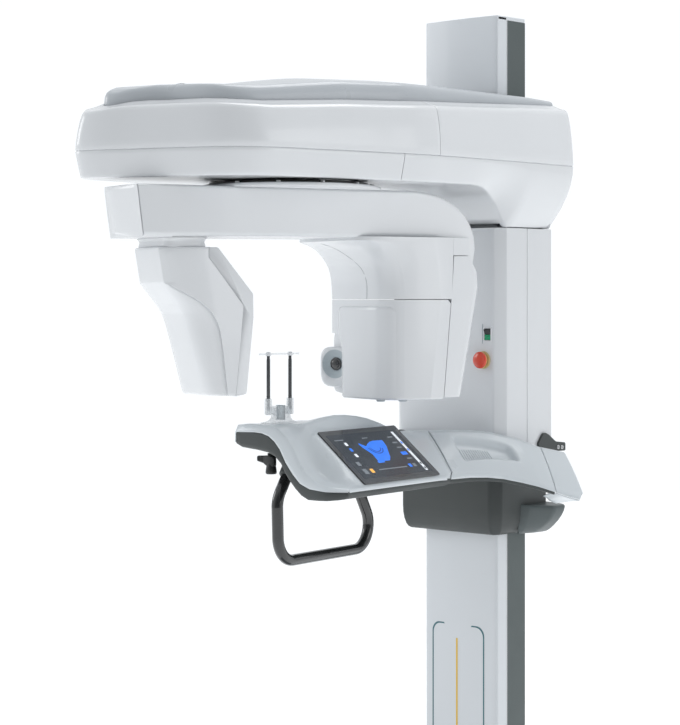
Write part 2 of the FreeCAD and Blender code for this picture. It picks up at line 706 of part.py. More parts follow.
def slides_and_drive():
    y = "-sizes.slew_reach"
    stage = block("y_stage_plate", ("-150", "150"), (f"{y} - 95", f"{y} + 95"),
                  ("sizes.stage_joint + sizes.running_gap", "sizes.stage_top"))
    keep(cut("y_stage", stage, cylinder("y_stage_opening", "84", "40", ("0", y, "sizes.stage_joint - 5"))))
    plate = block("x_stage_plate", ("-115", "115"), (f"{y} - 90", f"{y} + 90"),
                  ("sizes.stage_bottom", "sizes.stage_joint"))
    shaft_y = f"{y} + sizes.slew_bore - sizes.pinion_radius - sizes.running_gap"
    keep(cut("x_stage", plate, cylinder("shaft_hole", "8", "30", ("0", shaft_y, "sizes.stage_bottom - 5"))))
    ring = cylinder("bearing_block", "sizes.slew_radius + 22", "26", ("0", y, "sizes.stage_bottom - 26"))
    bore = cylinder("bearing_bore", "sizes.slew_radius + sizes.running_gap", "40",
                    ("0", y, "sizes.stage_bottom - 30"))
    keep(cut("slew_bearing", ring, bore))
    keep(cylinder("drive_motor", "26", "70", ("0", shaft_y, "sizes.stage_joint")))
    keep(join("drive_pinion",
              cylinder("pinion_teeth", "sizes.pinion_radius", "20", ("0", shaft_y, "sizes.slew_top - 20")),
              cylinder("pinion_shaft", "6", "30", ("0", shaft_y, "sizes.slew_top - 15"))))


# Rotating arm: x runs from the tubehead to the detector, z stays up, the slewing axis is at x = y = 0

def on_arm(feature):
    feature.Placement = Placement(Vector(), Rotation(Vector(0, 0, 1), size("arm_angle")))
    feature.setExpression("Placement.Base.y", "-sizes.slew_reach")
    return feature


def arm_profile(label, outline, width):
    """A side profile of (x, z) points, as wide as the expression says, centred on the arm."""
    return pad(label, "XZ_Plane", [outline], width, centred=True)


def hollow_profile(label, outline, room, width):
    """A closed cover: the outline, with a room of the second outline inside it."""
    body = arm_profile(label, outline, width)
    return pocket(body, "XZ_Plane", [room], f"{width} - 2 * sizes.wall", centred=True)


def slew_parts():
    ring = pad("slew_ring", "XY_Plane", [(0, 0, size("slew_radius")), (0, 0, size("slew_bore"))],
               "sizes.slew_top - sizes.slew_bottom", size("slew_bottom"))
    keep(on_arm(ring))
    disc = pad("slew_disc", "XY_Plane", [(0, 0, 208), (0, 0, 69.8)], "8", size("arm_top"))
    step = disc.newObject("PartDesign::Pad", "step")
    step.Profile = add_sketch(disc, "XY_Plane", [(0, 0, 200), (0, 0, 69.8)], size("arm_top") + 8)
    step.Length = 7
    doc.recompute()
    keep(on_arm(disc))


def arm_structure():
    top = size("arm_top")
    low = size("arm_bottom")
    beam = arm_profile("arm_beam", [(-295, low + 22), (370, low + 22), (370, top - 12), (-295, top - 12)], "110")
    pocket(beam, "XZ_Plane", [[(-291, low + 27), (366, low + 27), (366, top - 17), (-291, top - 17)]], "100",
           centred=True)
    keep(on_arm(beam))

    outline = [(393, low), (407, top), (-275, top), (-345, top - 20), (-395, top - 57), (-424, low)]
    room = [(389.5, low - 1), (403, top - 3), (-274.5, top - 3), (-343.5, top - 23), (-393, top - 59),
            (-421, low - 1)]
    keep(on_arm(hollow_profile("arm_shell", outline, room, "sizes.arm_width")))
    cover = arm_profile("arm_bottom_cover", [(-424, low), (-424, low - 4), (235, low - 4), (240, 1818), (345, 1818),
                                             (352, low - 4), (393, low - 4), (393, low)],
                        "sizes.arm_width - 60")
    keep(on_arm(cover))
    keep(on_arm(arm_profile("arm_end_cap", [(393.3, low - 4), (399, low - 4), (417, top), (407.3, top)],
                            "sizes.arm_width")))


def detector():
    inner = [(223, 1818), (138, 1717), (138, 1667), (156, 1500), (182, 1495), (163, 1692), (247, 1796),
             (247, 1818)]
    inner_room = [(226, 1815), (141.5, 1715), (141.5, 1667), (159, 1503), (178.5, 1499), (159.5, 1693.5),
                  (243.5, 1797), (243.5, 1815)]
    keep(on_arm(hollow_profile("detector_inner_cover", inner, inner_room, "sizes.detector_width")))
    outer = [(247.3, 1818), (247.3, 1795.8), (163.4, 1691.8), (182.4, 1495), (233, 1500), (286, 1673), (334, 1731),
             (349, 1818)]
    outer_room = [(250.5, 1815), (250.5, 1795), (167, 1691), (186, 1499), (230.5, 1503.5), (283, 1674),
                  (331, 1732), (345.5, 1815)]
    keep(on_arm(hollow_profile("detector_outer_cover", outer, outer_room, "sizes.detector_width")))
    panel = [(172, 1680), (189, 1510), (202, 1511), (185, 1681)]
    keep(on_arm(arm_profile("sensor_panel", panel, "sizes.detector_width - 40")))


def tubehead():
    width = "sizes.tubehead_width"
    ceiling = size("arm_bottom") - 4
    upper = [(-180, 1706), (-178, 1750), (-165, 1790), (-135, 1822), (-95, ceiling), (-424, ceiling),
             (-424, 1797), (-353, 1796), (-349, 1706)]
    upper_room = [(-183, 1709), (-181, 1750.5), (-167.7, 1791.5), (-137, 1825), (-114, ceiling - 3),
                  (-421, ceiling - 3), (-421, 1800), (-350, 1799), (-346, 1709)]
    keep(on_arm(hollow_profile("tubehead_upper_cover", upper, upper_room, width)))
    lower = [(-180, 1480), (-180, 1705.8), (-349, 1705.8), (-330, 1480)]
    lower_room = [(-183, 1483), (-183, 1702.8), (-346, 1702.8), (-327, 1483)]
    cover = hollow_profile("tubehead_lower_solid", lower, lower_room, width)
    pod_axis = Vector(0.866, 0.5, 0)
    pod_room = cylinder("pod_opening", "38.5", "80", ("-197", "-124.5", "1556"), pod_axis)
    keep(on_arm(cut("tubehead_lower_cover", cover, pod_room)))
    outer = [(-331, 1485), (-349.6, 1706), (-353.6, 1795.5), (-413, 1790), (-422, 1735), (-376, 1485)]
    outer_room = [(-334.3, 1488), (-352.6, 1706), (-356.6, 1792), (-410.5, 1787.5), (-418.5, 1735),
                  (-373.5, 1488)]
    keep(on_arm(hollow_profile("tubehead_outer_cover", outer, outer_room, width)))

    pod = cylinder("pod_solid", "38", "16", ("-194.4", "-123", "1556"), pod_axis)
    dish = cylinder("pod_dish", "33", "20", ("-184", "-117", "1556"), pod_axis)
    keep(on_arm(cut("camera_pod", pod, dish)))
    tank = pad("xray_tank", "XZ_Plane", [(-258, 1600, 58)], "160", centred=True)
    snout = tank.newObject("PartDesign::Pad", "snout")
    snout.Profile = add_sketch(tank, "XZ_Plane", [[(-230, 1556), (-193, 1556), (-193, 1644), (-230, 1644)]])
    snout.setExpression("Length", "110")
    snout.SideType = "Symmetric"
    doc.recompute()
    pocket(tank, "XZ_Plane", [[(-206, 1566), (-192, 1566), (-192, 1634), (-206, 1634)]], "44", centred=True)
    keep(on_arm(tank))


def collimator():
    """Two thin lead blades in front of the tank's window, which open and close together."""
    for name, middle in (("left", -27), ("right", 27)):
        blade = pad(f"collimator_blade_{name}", "YZ_Plane",
                    [[(middle - 25, 1558), (middle + 25, 1558), (middle + 25, 1642), (middle - 25, 1642)]],
                    "2", start=-191)
        keep(on_arm(blade))


def check_and_write():
    """Stop on anything that failed to compute, and write one file for each sub-part."""
    doc.recompute()
    for feature in doc.Objects:
        if "Invalid" in feature.State or "Error" in feature.State:
            raise ValueError(f"{feature.Label} did not compute")
    for node in nodes:
        if node.Shape.isNull() or not node.Shape.isValid() or not node.Shape.Solids:
            raise ValueError(f"{node.Label} is not a sound solid")
    os.makedirs("parts", exist_ok=True)
    for node in nodes:
        node.Shape.exportStep(f"parts/{node.Label}.step")
        print(node.Label, len(node.Shape.Solids), round(node.Shape.Volume / 1000), "cm3")


base_plate()
column()
guide_rails()
lift_drive()
rear_cabinet()
wall_brackets()
carriage_frame()
head_frame()
column_covers()
lower_housing()
head_lower_shells()
head_upper_shells()
console_shells()
console_under_shell()
tablet()
keep(handle_tube("patient_handle", size("handle_radius")))
patient_support()
small_fittings()
slides_and_drive()
slew_parts()
arm_structure()
detector()
tubehead()
collimator()
check_and_write()
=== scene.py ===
import math

import bmesh
import bpy
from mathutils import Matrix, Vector


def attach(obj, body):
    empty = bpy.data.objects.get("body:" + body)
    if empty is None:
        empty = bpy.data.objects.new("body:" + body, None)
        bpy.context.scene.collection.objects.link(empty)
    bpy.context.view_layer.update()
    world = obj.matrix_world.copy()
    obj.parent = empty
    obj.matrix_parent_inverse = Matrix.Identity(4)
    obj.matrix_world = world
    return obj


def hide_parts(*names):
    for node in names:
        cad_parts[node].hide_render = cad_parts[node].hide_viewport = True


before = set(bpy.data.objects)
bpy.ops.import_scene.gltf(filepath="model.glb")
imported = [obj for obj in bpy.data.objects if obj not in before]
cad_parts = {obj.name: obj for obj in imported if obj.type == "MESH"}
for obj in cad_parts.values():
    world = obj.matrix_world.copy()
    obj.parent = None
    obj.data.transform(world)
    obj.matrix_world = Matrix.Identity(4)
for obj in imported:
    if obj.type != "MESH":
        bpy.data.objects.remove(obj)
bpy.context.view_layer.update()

# Lengths are in millimetres and become metres where a mesh is made. Three frames are used: the row's
# own, the arm's (x towards the detector, origin on the slewing axis) and the console's (y along it).
MM = 0.001
SLEW_Y = -640
ARM_TURN = math.radians(-107)
CONSOLE_Y = -700
CONSOLE_TURN = math.radians(9.5)
UP = (0, 0, 1)


def turned(x, y, angle, origin_y):
    return (x * math.cos(angle) - y * math.sin(angle),
            x * math.sin(angle) + y * math.cos(angle) + origin_y)


def row_frame(x, y, z):
    return Vector((x, y, z)) * MM


def arm_frame(x, y, z):
    return Vector((*turned(x, y, ARM_TURN, SLEW_Y), z)) * MM


def console_frame(x, y, z):
    return Vector((*turned(x, y, CONSOLE_TURN, CONSOLE_Y), z)) * MM


def smooth_step(value, low, high):
    """0 below low, 1 above high, and an even S between them."""
    share = min(max((value - low) / (high - low), 0), 1)
    return share * share * (3 - 2 * share)


def mix(first, second, share):
    return first + (second - first) * share


def table(value, points):
    """A value read off a list of (place, value) points, straight between them."""
    if value <= points[0][0]:
        return points[0][1]
    for (before, low), (after, high) in zip(points, points[1:]):
        if value <= after:
            return mix(low, high, (value - before) / (after - before))
    return points[-1][1]


def steps(low, high, count):
    return [mix(low, high, index / count) for index in range(count + 1)]


def full_turn(count):
    """Angles of the points of a closed circle."""
    return steps(0, 2 * math.pi, count)[:-1]


def rounded(corners, radius, count=6):
    """A closed polygon with a round arc at each corner; a corner may bring its own radius."""
    path = []
    total = len(corners)
    for index, corner in enumerate(corners):
        here = Vector(corner[:2])
        wanted = corner[2] if len(corner) > 2 else radius
        before = Vector(corners[index - 1][:2]) - here
        after = Vector(corners[(index + 1) % total][:2]) - here
        half = before.angle(after) / 2
        reach = min(wanted / math.tan(half), before.length * 0.49, after.length * 0.49)
        if wanted == 0 or reach < 0.05:
            path.append(tuple(here))
            continue
        fitted = reach * math.tan(half)
        centre = here + (before.normalized() + after.normalized()).normalized() * (fitted / math.sin(half))
        first = here + before.normalized() * reach - centre
        last = here + after.normalized() * reach - centre
        sweep = math.pi - 2 * half
        turn = 1 if first.x * last.y - first.y * last.x > 0 else -1
        for share in steps(0, 1, count):
            angle = turn * sweep * share
            path.append((centre.x + first.x * math.cos(angle) - first.y * math.sin(angle),
                         centre.y + first.x * math.sin(angle) + first.y * math.cos(angle)))
    return path


def box_outline(low, high, radius, count=6):
    """A rounded rectangle between two opposite corners."""
    return rounded([low, (high[0], low[1]), high, (low[0], high[1])], radius, count)


def circle(middle, side, other, radius, count):
    """Points round a middle, in the plane of two directions."""
    return [tuple(middle + (side * math.cos(a) + other * math.sin(a)) * radius) for a in full_turn(count)]


# Meshes

def mesh_piece(name, points, faces):
    mesh = bpy.data.meshes.new(name)
    mesh.from_pydata(points, [], faces)
    mesh.validate()
    work = bmesh.new()
    work.from_mesh(mesh)
    bmesh.ops.remove_doubles(work, verts=work.verts, dist=1e-6)
    bmesh.ops.recalc_face_normals(work, faces=work.faces)
    work.to_mesh(mesh)
    work.free()
    piece = bpy.data.objects.new(name, mesh)
    bpy.context.scene.collection.objects.link(piece)
    return piece


def grid(name, rows, place=row_frame, around=False, caps=False):
    """A surface through rows of points; around closes each row, caps closes the two ends."""
    width = len(rows[0])
    points = [place(*point) for row in rows for point in row]
    faces = []
    for upper in range(len(rows) - 1):
        for index in range(width if around else width - 1):
            following = (index + 1) % width
            faces.append((upper * width + index, upper * width + following,
                          (upper + 1) * width + following, (upper + 1) * width + index))
    if caps:
        faces.append(tuple(range(width)))
        faces.append(tuple(range((len(rows) - 1) * width, len(rows) * width)))
    return mesh_piece(name, points, faces)


def prism(name, outline, low, high, place=row_frame, axis="z"):
    """An outline drawn out along one axis: (x, y) along z, (x, z) along y, or (y, z) along x."""
    orders = {"z": lambda a, b, c: (a, b, c), "y": lambda a, b, c: (a, c, b), "x": lambda a, b, c: (c, a, b)}
    order = orders[axis]
    rows = [[order(a, b, level) for a, b in outline] for level in (low, high)]
    return grid(name, rows, place, around=True, caps=True)


def turned_piece(name, profile, centre, direction, count=48):
    """A solid of revolution: profile is (radius, distance along direction) from axis to axis."""
    axis = Vector(direction).normalized()
    side = axis.orthogonal().normalized()
    other = axis.cross(side)
    rows = [circle(Vector(centre) + axis * along, side, other, radius, count) for radius, along in profile]
    return grid(name, rows, around=True, caps=True)


def add_modifier(piece, kind, **settings):
    modifier = piece.modifiers.new(kind.lower(), kind)
    for key, value in settings.items():
        setattr(modifier, key, value)
    return modifier


def apply_modifiers(piece):
    graph = bpy.context.evaluated_depsgraph_get()
    mesh = bpy.data.meshes.new_from_object(piece.evaluated_get(graph))
    piece.modifiers.clear()
    piece.data = mesh


def soften(piece, width=1.5, segments=3, angle=30):
    """Round the sharp edges and keep the broad faces flat in shading."""
    add_modifier(piece, "BEVEL", width=width * MM, segments=segments, limit_method="ANGLE",
                 angle_limit=math.radians(angle), harden_normals=False)
    smooth(piece)
    add_modifier(piece, "WEIGHTED_NORMAL", keep_sharp=True)
    return piece


def smooth(piece):
    for face in piece.data.polygons:
        face.use_smooth = True
    return piece


def skin(piece, thickness=2.5):
    """Give a surface a wall that lies inside it."""
    add_modifier(piece, "SOLIDIFY", thickness=thickness * MM, offset=-1, use_even_offset=False)
    return smooth(piece)


def trimmed(source, name, planes, closed=False):
    """A copy of a mesh cut by planes, each a point and a normal, without what lies on the normal's side.

    A closed mesh is closed again at each cut.
    """
    mesh = source.data.copy()
    work = bmesh.new()
    work.from_mesh(mesh)
    for point, normal in planes:
        cut = bmesh.ops.bisect_plane(work, geom=work.verts[:] + work.edges[:] + work.faces[:],
                                     plane_co=point, plane_no=normal, clear_outer=True)
        if closed:
            edges = [item for item in cut["geom_cut"] if isinstance(item, bmesh.types.BMEdge)]
            bmesh.ops.edgeloop_fill(work, edges=edges)
    if closed:
        bmesh.ops.recalc_face_normals(work, faces=work.faces)
    work.to_mesh(mesh)
    work.free()
    piece = bpy.data.objects.new(name, mesh)
    bpy.context.scene.collection.objects.link(piece)
    return piece


def take_away(piece, outline, reach, place, axis):
    """Cut an outline, drawn out along one axis, out of a closed piece."""
    cutter = prism("cutter", outline, *reach, place=place, axis=axis)
    add_modifier(piece, "BOOLEAN", object=cutter, operation="DIFFERENCE", solver="EXACT")
    apply_modifiers(piece)
    bpy.data.objects.remove(cutter)


def finish_piece(piece, body, slot, material, *nodes):
    """Give a piece its material, its body and the CAD nodes it stands for."""
    piece.data.materials.clear()
    piece.data.materials.append(material)
    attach(piece, body)
    if nodes:
        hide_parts(*nodes)
    return piece


# Materials

def shader(name, color, roughness, metallic=0.0, coat=0.0, specular=0.5):
    material = bpy.data.materials.new(name)
    material.use_nodes = True
    tree = material.node_tree
    surface = tree.nodes["Principled BSDF"]
    surface.inputs["Base Color"].default_value = (*color, 1)
    surface.inputs["Roughness"].default_value = roughness
    surface.inputs["Metallic"].default_value = metallic
    surface.inputs["Coat Weight"].default_value = coat
    surface.inputs["Coat Roughness"].default_value = 0.06
    surface.inputs["Specular IOR Level"].default_value = specular
    return material, tree, surface


def noise(tree, scale, detail=3, stretch=(1, 1, 1)):
    """Noise in object coordinates, which may be stretched along an axis."""
    place = tree.nodes.new("ShaderNodeTexCoord")
    mapping = tree.nodes.new("ShaderNodeMapping")
    mapping.inputs["Scale"].default_value = stretch
    texture = tree.nodes.new("ShaderNodeTexNoise")
    texture.inputs["Scale"].default_value = scale
    texture.inputs["Detail"].default_value = detail
    tree.links.new(place.outputs["Object"], mapping.inputs["Vector"])
    tree.links.new(mapping.outputs["Vector"], texture.inputs["Vector"])
    return texture


def spread(tree, source, low, high, target):
    """Drive a socket between low and high from a noise."""
    span = tree.nodes.new("ShaderNodeMapRange")
    span.inputs["From Min"].default_value = 0.3
    span.inputs["From Max"].default_value = 0.7
    span.inputs["To Min"].default_value = low
    span.inputs["To Max"].default_value = high
    tree.links.new(source.outputs["Fac"], span.inputs["Value"])
    tree.links.new(span.outputs["Result"], target)


def tint(tree, source, first, second, target):
    """Drive a colour between two tones from a noise."""
    ramp = tree.nodes.new("ShaderNodeValToRGB")
    ramp.color_ramp.elements[0].position = 0.35
    ramp.color_ramp.elements[1].position = 0.65
    ramp.color_ramp.elements[0].color = (*first, 1)
    ramp.color_ramp.elements[1].color = (*second, 1)
    tree.links.new(source.outputs["Fac"], ramp.inputs["Fac"])
    tree.links.new(ramp.outputs["Color"], target)


def relief(tree, surface, source, strength, distance):
    bump = tree.nodes.new("ShaderNodeBump")
    bump.inputs["Strength"].default_value = strength
    bump.inputs["Distance"].default_value = distance
    tree.links.new(source.outputs["Fac"], bump.inputs["Height"])
    tree.links.new(bump.outputs["Normal"], surface.inputs["Normal"])


def plastic(name, color, roughness, coat=0.0, grain=0.06, grain_scale=900, variation=0.03, specular=0.5):
    """Moulded plastic: a fine grain, slow changes of tone and slightly uneven gloss."""
    material, tree, surface = shader(name, color, roughness, coat=coat, specular=specular)
    slow = noise(tree, 4, 2)
    darker = [channel * (1 - variation) for channel in color]
    tint(tree, slow, darker, color, surface.inputs["Base Color"])
    fine = noise(tree, grain_scale, 4)
    spread(tree, noise(tree, 14, 4), roughness * 0.88, roughness * 1.12, surface.inputs["Roughness"])
    relief(tree, surface, fine, grain, 0.0002)
    return material


def metal(name, color, roughness, stretch=(1, 1, 40), scratch=0.12, metallic=1.0):
    """Metal with long fine scratches along one axis and patches of different gloss."""
    material, tree, surface = shader(name, color, roughness, metallic=metallic)
    lines = noise(tree, 260, 5, stretch)
    spread(tree, noise(tree, 9, 5), roughness * 0.8, roughness * 1.25, surface.inputs["Roughness"])
    tint(tree, lines, [channel * 0.9 for channel in color], color, surface.inputs["Base Color"])
    relief(tree, surface, lines, scratch, 0.0002)
    return material


WHITE = plastic("white_gloss", (0.735, 0.752, 0.772), 0.22, coat=0.35, grain=0.02, variation=0.015)
# Grey of the head's top cover: painted shade and painted reflection for its upward-facing band, on a shell
# that is otherwise white.
HEAD_COVER_PAINTED_SHADE = plastic("head_cover_painted_shade", (0.50, 0.53, 0.56), 0.30, coat=0.3, grain=0.05, variation=0.03)
COLUMN_SILVER = plastic("column_lacquer", (0.70, 0.73, 0.76), 0.33, coat=0.2, grain=0.05, variation=0.02)
DARK = plastic("dark_grained_plastic", (0.050, 0.058, 0.058), 0.48, grain=0.35, grain_scale=1400,
               variation=0.12)
PROFILE = metal("dark_anodised", (0.115, 0.135, 0.135), 0.42, (40, 40, 1), 0.06, metallic=0.55)
STEEL = metal("machined_steel", (0.52, 0.53, 0.54), 0.30)
ALLOY = metal("milled_alloy", (0.66, 0.67, 0.68), 0.40, (1, 30, 1))
BASE = plastic("base_powder_coat", (0.42, 0.44, 0.46), 0.55, grain=0.5, grain_scale=700, variation=0.06)
BLACK_GLOSS = plastic("handle_black", (0.012, 0.013, 0.014), 0.13, coat=0.8, grain=0.02, variation=0.2)
SATIN_BLACK = plastic("satin_black", (0.022, 0.024, 0.025), 0.42, grain=0.2, variation=0.15)
RED = plastic("emergency_red", (0.72, 0.055, 0.02), 0.22, coat=0.5, grain=0.02, variation=0.05)
AMBER = plastic("collar_amber", (0.75, 0.55, 0.20), 0.35, grain=0.05)
GREY = plastic("soft_grey", (0.42, 0.46, 0.48), 0.35, grain=0.05)
GREEN = plastic("switch_green", (0.0, 0.30, 0.12), 0.2, coat=0.4, grain=0.02)
GLASS_BLACK = plastic("screen_glass", (0.006, 0.007, 0.009), 0.06, coat=1.0, grain=0.0, variation=0.1)
DARK_TEAL = plastic("side_cover_plastic", (0.085, 0.105, 0.108), 0.42, grain=0.2, grain_scale=1400,
                    variation=0.06)
ROD_DARK = plastic("rod_composite", (0.055, 0.058, 0.062), 0.34, grain=0.1)
STOP_RING = plastic("stop_ring_yellow", (0.62, 0.50, 0.22), 0.35)
SEAM_SHADE = plastic("seam_shade", (0.20, 0.22, 0.24), 0.5)
DISH_GREY = plastic("dish_grey", (0.42, 0.48, 0.51), 0.4)
LENS_BLACK = plastic("lens_black", (0.010, 0.011, 0.013), 0.12, coat=0.9, grain=0.0, variation=0.1)
LABEL_TEAL = plastic("label_teal", (0.05, 0.16, 0.19), 0.4)
LABEL_YELLOW = plastic("label_yellow", (0.80, 0.52, 0.06), 0.4)
CONSOLE_SILVER = plastic("console_lacquer", (0.64, 0.685, 0.715), 0.30, coat=0.35, grain=0.04,
                         variation=0.03)
CLEAR = plastic("clear_moulding", (0.90, 0.93, 0.95), 0.12, grain=0.0)
CLEAR.node_tree.nodes["Principled BSDF"].inputs["Alpha"].default_value = 0.42


def light_up(material, color, strength):
    surface = material.node_tree.nodes["Principled BSDF"]
    surface.inputs["Emission Color"].default_value = (*color, 1)
    surface.inputs["Emission Strength"].default_value = strength
    return material


def glowing(name, color, strength):
    """A lit area of the display."""
    return light_up(plastic(name, color, 0.25, grain=0.0), color, strength)


UI_SLATE = glowing("display_slate", (0.028, 0.034, 0.042), 0.5)
UI_BLUE = glowing("display_blue", (0.02, 0.14, 0.62), 0.9)
UI_DEEP_BLUE = glowing("display_deep_blue", (0.012, 0.07, 0.36), 0.7)
UI_WHITE = glowing("display_white", (0.72, 0.76, 0.80), 0.6)
UI_PALE = glowing("display_pale", (0.16, 0.18, 0.20), 0.5)
UI_AMBER = glowing("display_amber", (0.80, 0.42, 0.08), 0.7)


# Head: rings that follow one plan outline, moved in towards a spine, at heights that depend on y

SEAM_Z = 2027
FLOOR_Z = 1967
SKIRT_Z = 1878
HEAD_OUTLINE = [(240, 90), (248, -60), (251, -200), (254, -377), (250, -460), (234, -545), (216, -645),
                (196, -740), (172, -850), (146, -905), (95, -950), (0, -990), (-100, -1027), (-180, -1060),
                (-228, -1064), (-256, -1020), (-276, -900), (-284, -700), (-275, -500), (-258, -300),
                (-248, -100), (-245, 90)]
SPINE = [(0, 95), (0, -450), (-85, -870)]
RIM = [(-1066, 2156), (-1060, 2161), (-1027, 2170), (-990, 2170), (-950, 2166.5), (-905, 2164),
       (-850, 2164.5), (-740, 2176), (-645, 2186), (-480, 2192), (0, 2192), (90, 2189)]
SHOULDER = [(-1066, 2114), (-1050, 2121), (-1027, 2124), (-990, 2124), (-950, 2122.5), (-905, 2120),
            (-850, 2119), (-740, 2126), (-645, 2132), (-480, 2138), (-300, 2146), (0, 2161), (90, 2165)]


def smooth_path(points, count):
    """A Catmull-Rom curve through open points."""
    path = []
    padded = [points[0]] + points + [points[-1]]
    for index in range(1, len(padded) - 2):
        a, b, c, d = (Vector(point) for point in padded[index - 1:index + 3])
        for step in range(count):
            t = step / count
            path.append(0.5 * (2 * b + (c - a) * t + (2 * a - 5 * b + 4 * c - d) * t * t
                               + (3 * b - a - 3 * c + d) * t ** 3))
    path.append(Vector(points[-1]))
    return path


def nearest_on_spine(point):
    best = None
    for first, last in zip(SPINE, SPINE[1:]):
        first, last = Vector(first), Vector(last)
        along = last - first
        share = min(max((point - first).dot(along) / along.length_squared, 0), 1)
        foot = first + along * share
        if best is None or (foot - point).length < (best - point).length:
            best = foot
    return best


HEAD_PATH = smooth_path(HEAD_OUTLINE, 6)


def head_row(inset, height):
    """One ring of the head; inset and height are numbers or functions of y."""
    row = []
    for point in HEAD_PATH:
        foot = nearest_on_spine(point)
        depth = inset(point.y) if callable(inset) else inset
        reach = (foot - point).length
        moved = point + (foot - point) * min(depth / reach, 1)
        level = height(point.y) if callable(height) else height
        row.append((moved.x, moved.y, level))
    return row


def shoulder(y):
    return table(y, SHOULDER)


def rim(y):
    return table(y, RIM)


def skirt_bottom(y):
    """The lower shell's edge: level in front, then a hollow curve down to the moving column."""
    share = min(max((y + 290) / 190, 0), 1)
    return FLOOR_Z - (FLOOR_Z - SKIRT_Z) * (1 - math.sqrt(max(1 - share * share, 0)) if share < 1 else 1)


def skirt_inset(y):
    return mix(11, 73, smooth_step(y, -300, -85))


def skirt_bend(y):
    """How late the skirt turns inwards: 1 would be a straight wall."""
    return mix(1.1, 1.9, smooth_step(y, -300, -85))


def open_for_column(piece, half_width, front):
    """Cut a clean rectangular way through a surface for the column behind the line y = front."""
    work = bmesh.new()
    work.from_mesh(piece.data)
    for point, normal in (((half_width, 0, 0), (1, 0, 0)), ((-half_width, 0, 0), (1, 0, 0)),
                          ((0, front, 0), (0, 1, 0))):
        bmesh.ops.bisect_plane(work, geom=work.verts[:] + work.edges[:] + work.faces[:],
                               plane_co=Vector(point) * MM, plane_no=Vector(normal))
    inside = [face for face in work.faces if abs(face.calc_center_median().x) < half_width * MM
              and face.calc_center_median().y > front * MM]
    bmesh.ops.delete(work, geom=inside, context="FACES")
    work.to_mesh(piece.data)
    work.free()


def split_front_rear(source, stem, seam_y, slant):
    """Part a shell of the head at its cross seam and give both halves a wall."""
    gap = 0.7
    for name, side in (("front", 1), ("rear", -1)):
        seam = (row_frame(0, seam_y - gap * side, SEAM_Z), Vector((0, side, slant * side)))
        half = trimmed(source, f"{stem}_{name}_skin", [seam])
        skin(half, 2.5)
        add_modifier(half, "BEVEL", width=0.5 * MM, segments=2, limit_method="ANGLE",
                     angle_limit=math.radians(60))
        finish_piece(half, "carriage", "white_shell", WHITE, f"{stem}_{name}_shell")
    bpy.data.objects.remove(source)


def head_upper():
    rows = [head_row(4, SEAM_Z - 1.0), head_row(1.2, SEAM_Z + 0.6), head_row(0, SEAM_Z + 2.2)]
    wall = [(0.2, 1.0), (0.45, 4.2), (0.7, 9.0), (0.86, 13.5), (0.93, 17), (0.975, 22), (0.995, 28)]
    for share, inset in wall:
        rows.append(head_row(inset, lambda y, share=share: mix(SEAM_Z + 2.2, shoulder(y), share)))
    for inset, lift in ((36, 1.5), (46, 5), (55, 9), (60, 11.0), (61.5, 9.5), (63, 6), (72, 5)):
        rows.append(head_row(inset, lambda y, lift=lift: shoulder(y) + lift))
    shell = grid("head_upper", rows)
    open_for_column(shell, 121, -56)
    split_front_rear(shell, "head_upper", -415, -0.05)


def head_lower():
    rows = [head_row(4, SEAM_Z + 0.4), head_row(1.2, SEAM_Z - 1.0), head_row(0, SEAM_Z - 2.6)]
    for share in (0.12, 0.3, 0.5, 0.7, 0.85, 0.93):
        rows.append(head_row(lambda y, share=share: skirt_inset(y) * share ** skirt_bend(y),
                             lambda y, share=share: mix(SEAM_Z - 2.6, skirt_bottom(y) + 4, share)))
    for inset, lift in ((0.5, 2.6), (2.5, 1.0), (6, 0.2), (12, 0)):
        rows.append(head_row(lambda y, inset=inset: skirt_inset(y) + inset,
                             lambda y, lift=lift: skirt_bottom(y) + lift))
    for share in (0.25, 0.4, 0.52, 0.64, 0.76, 0.88, 1.0):
        rows.append(head_row(lambda y, share=share: skirt_inset(y) + 12 + 280 * share, skirt_bottom))
    shell = grid("head_lower", rows)
    open_for_column(shell, 160, -92)
    work = bmesh.new()
    work.from_mesh(shell.data)
    axis = Vector((0, SLEW_Y * MM))
    hole_radius = 118
    hole = [face for face in work.faces if (face.calc_center_median().xy - axis).length < hole_radius * MM
            and face.calc_center_median().z < (FLOOR_Z + 5) * MM]
    bmesh.ops.delete(work, geom=hole, context="FACES")
    work.to_mesh(shell.data)
    work.free()
    split_front_rear(shell, "head_lower", -518, 0)


def on_ring(ring, chain, y):
    """The point of a ring that belongs to the place where one side of the plan outline reaches y."""
    for before, after in zip(chain, chain[1:]):
        high, low = HEAD_PATH[before].y, HEAD_PATH[after].y
        if low <= y <= high:
            return Vector(ring[before]).lerp(Vector(ring[after]), (high - y) / max(high - low, 1e-6))
    return Vector(ring[chain[-1]])


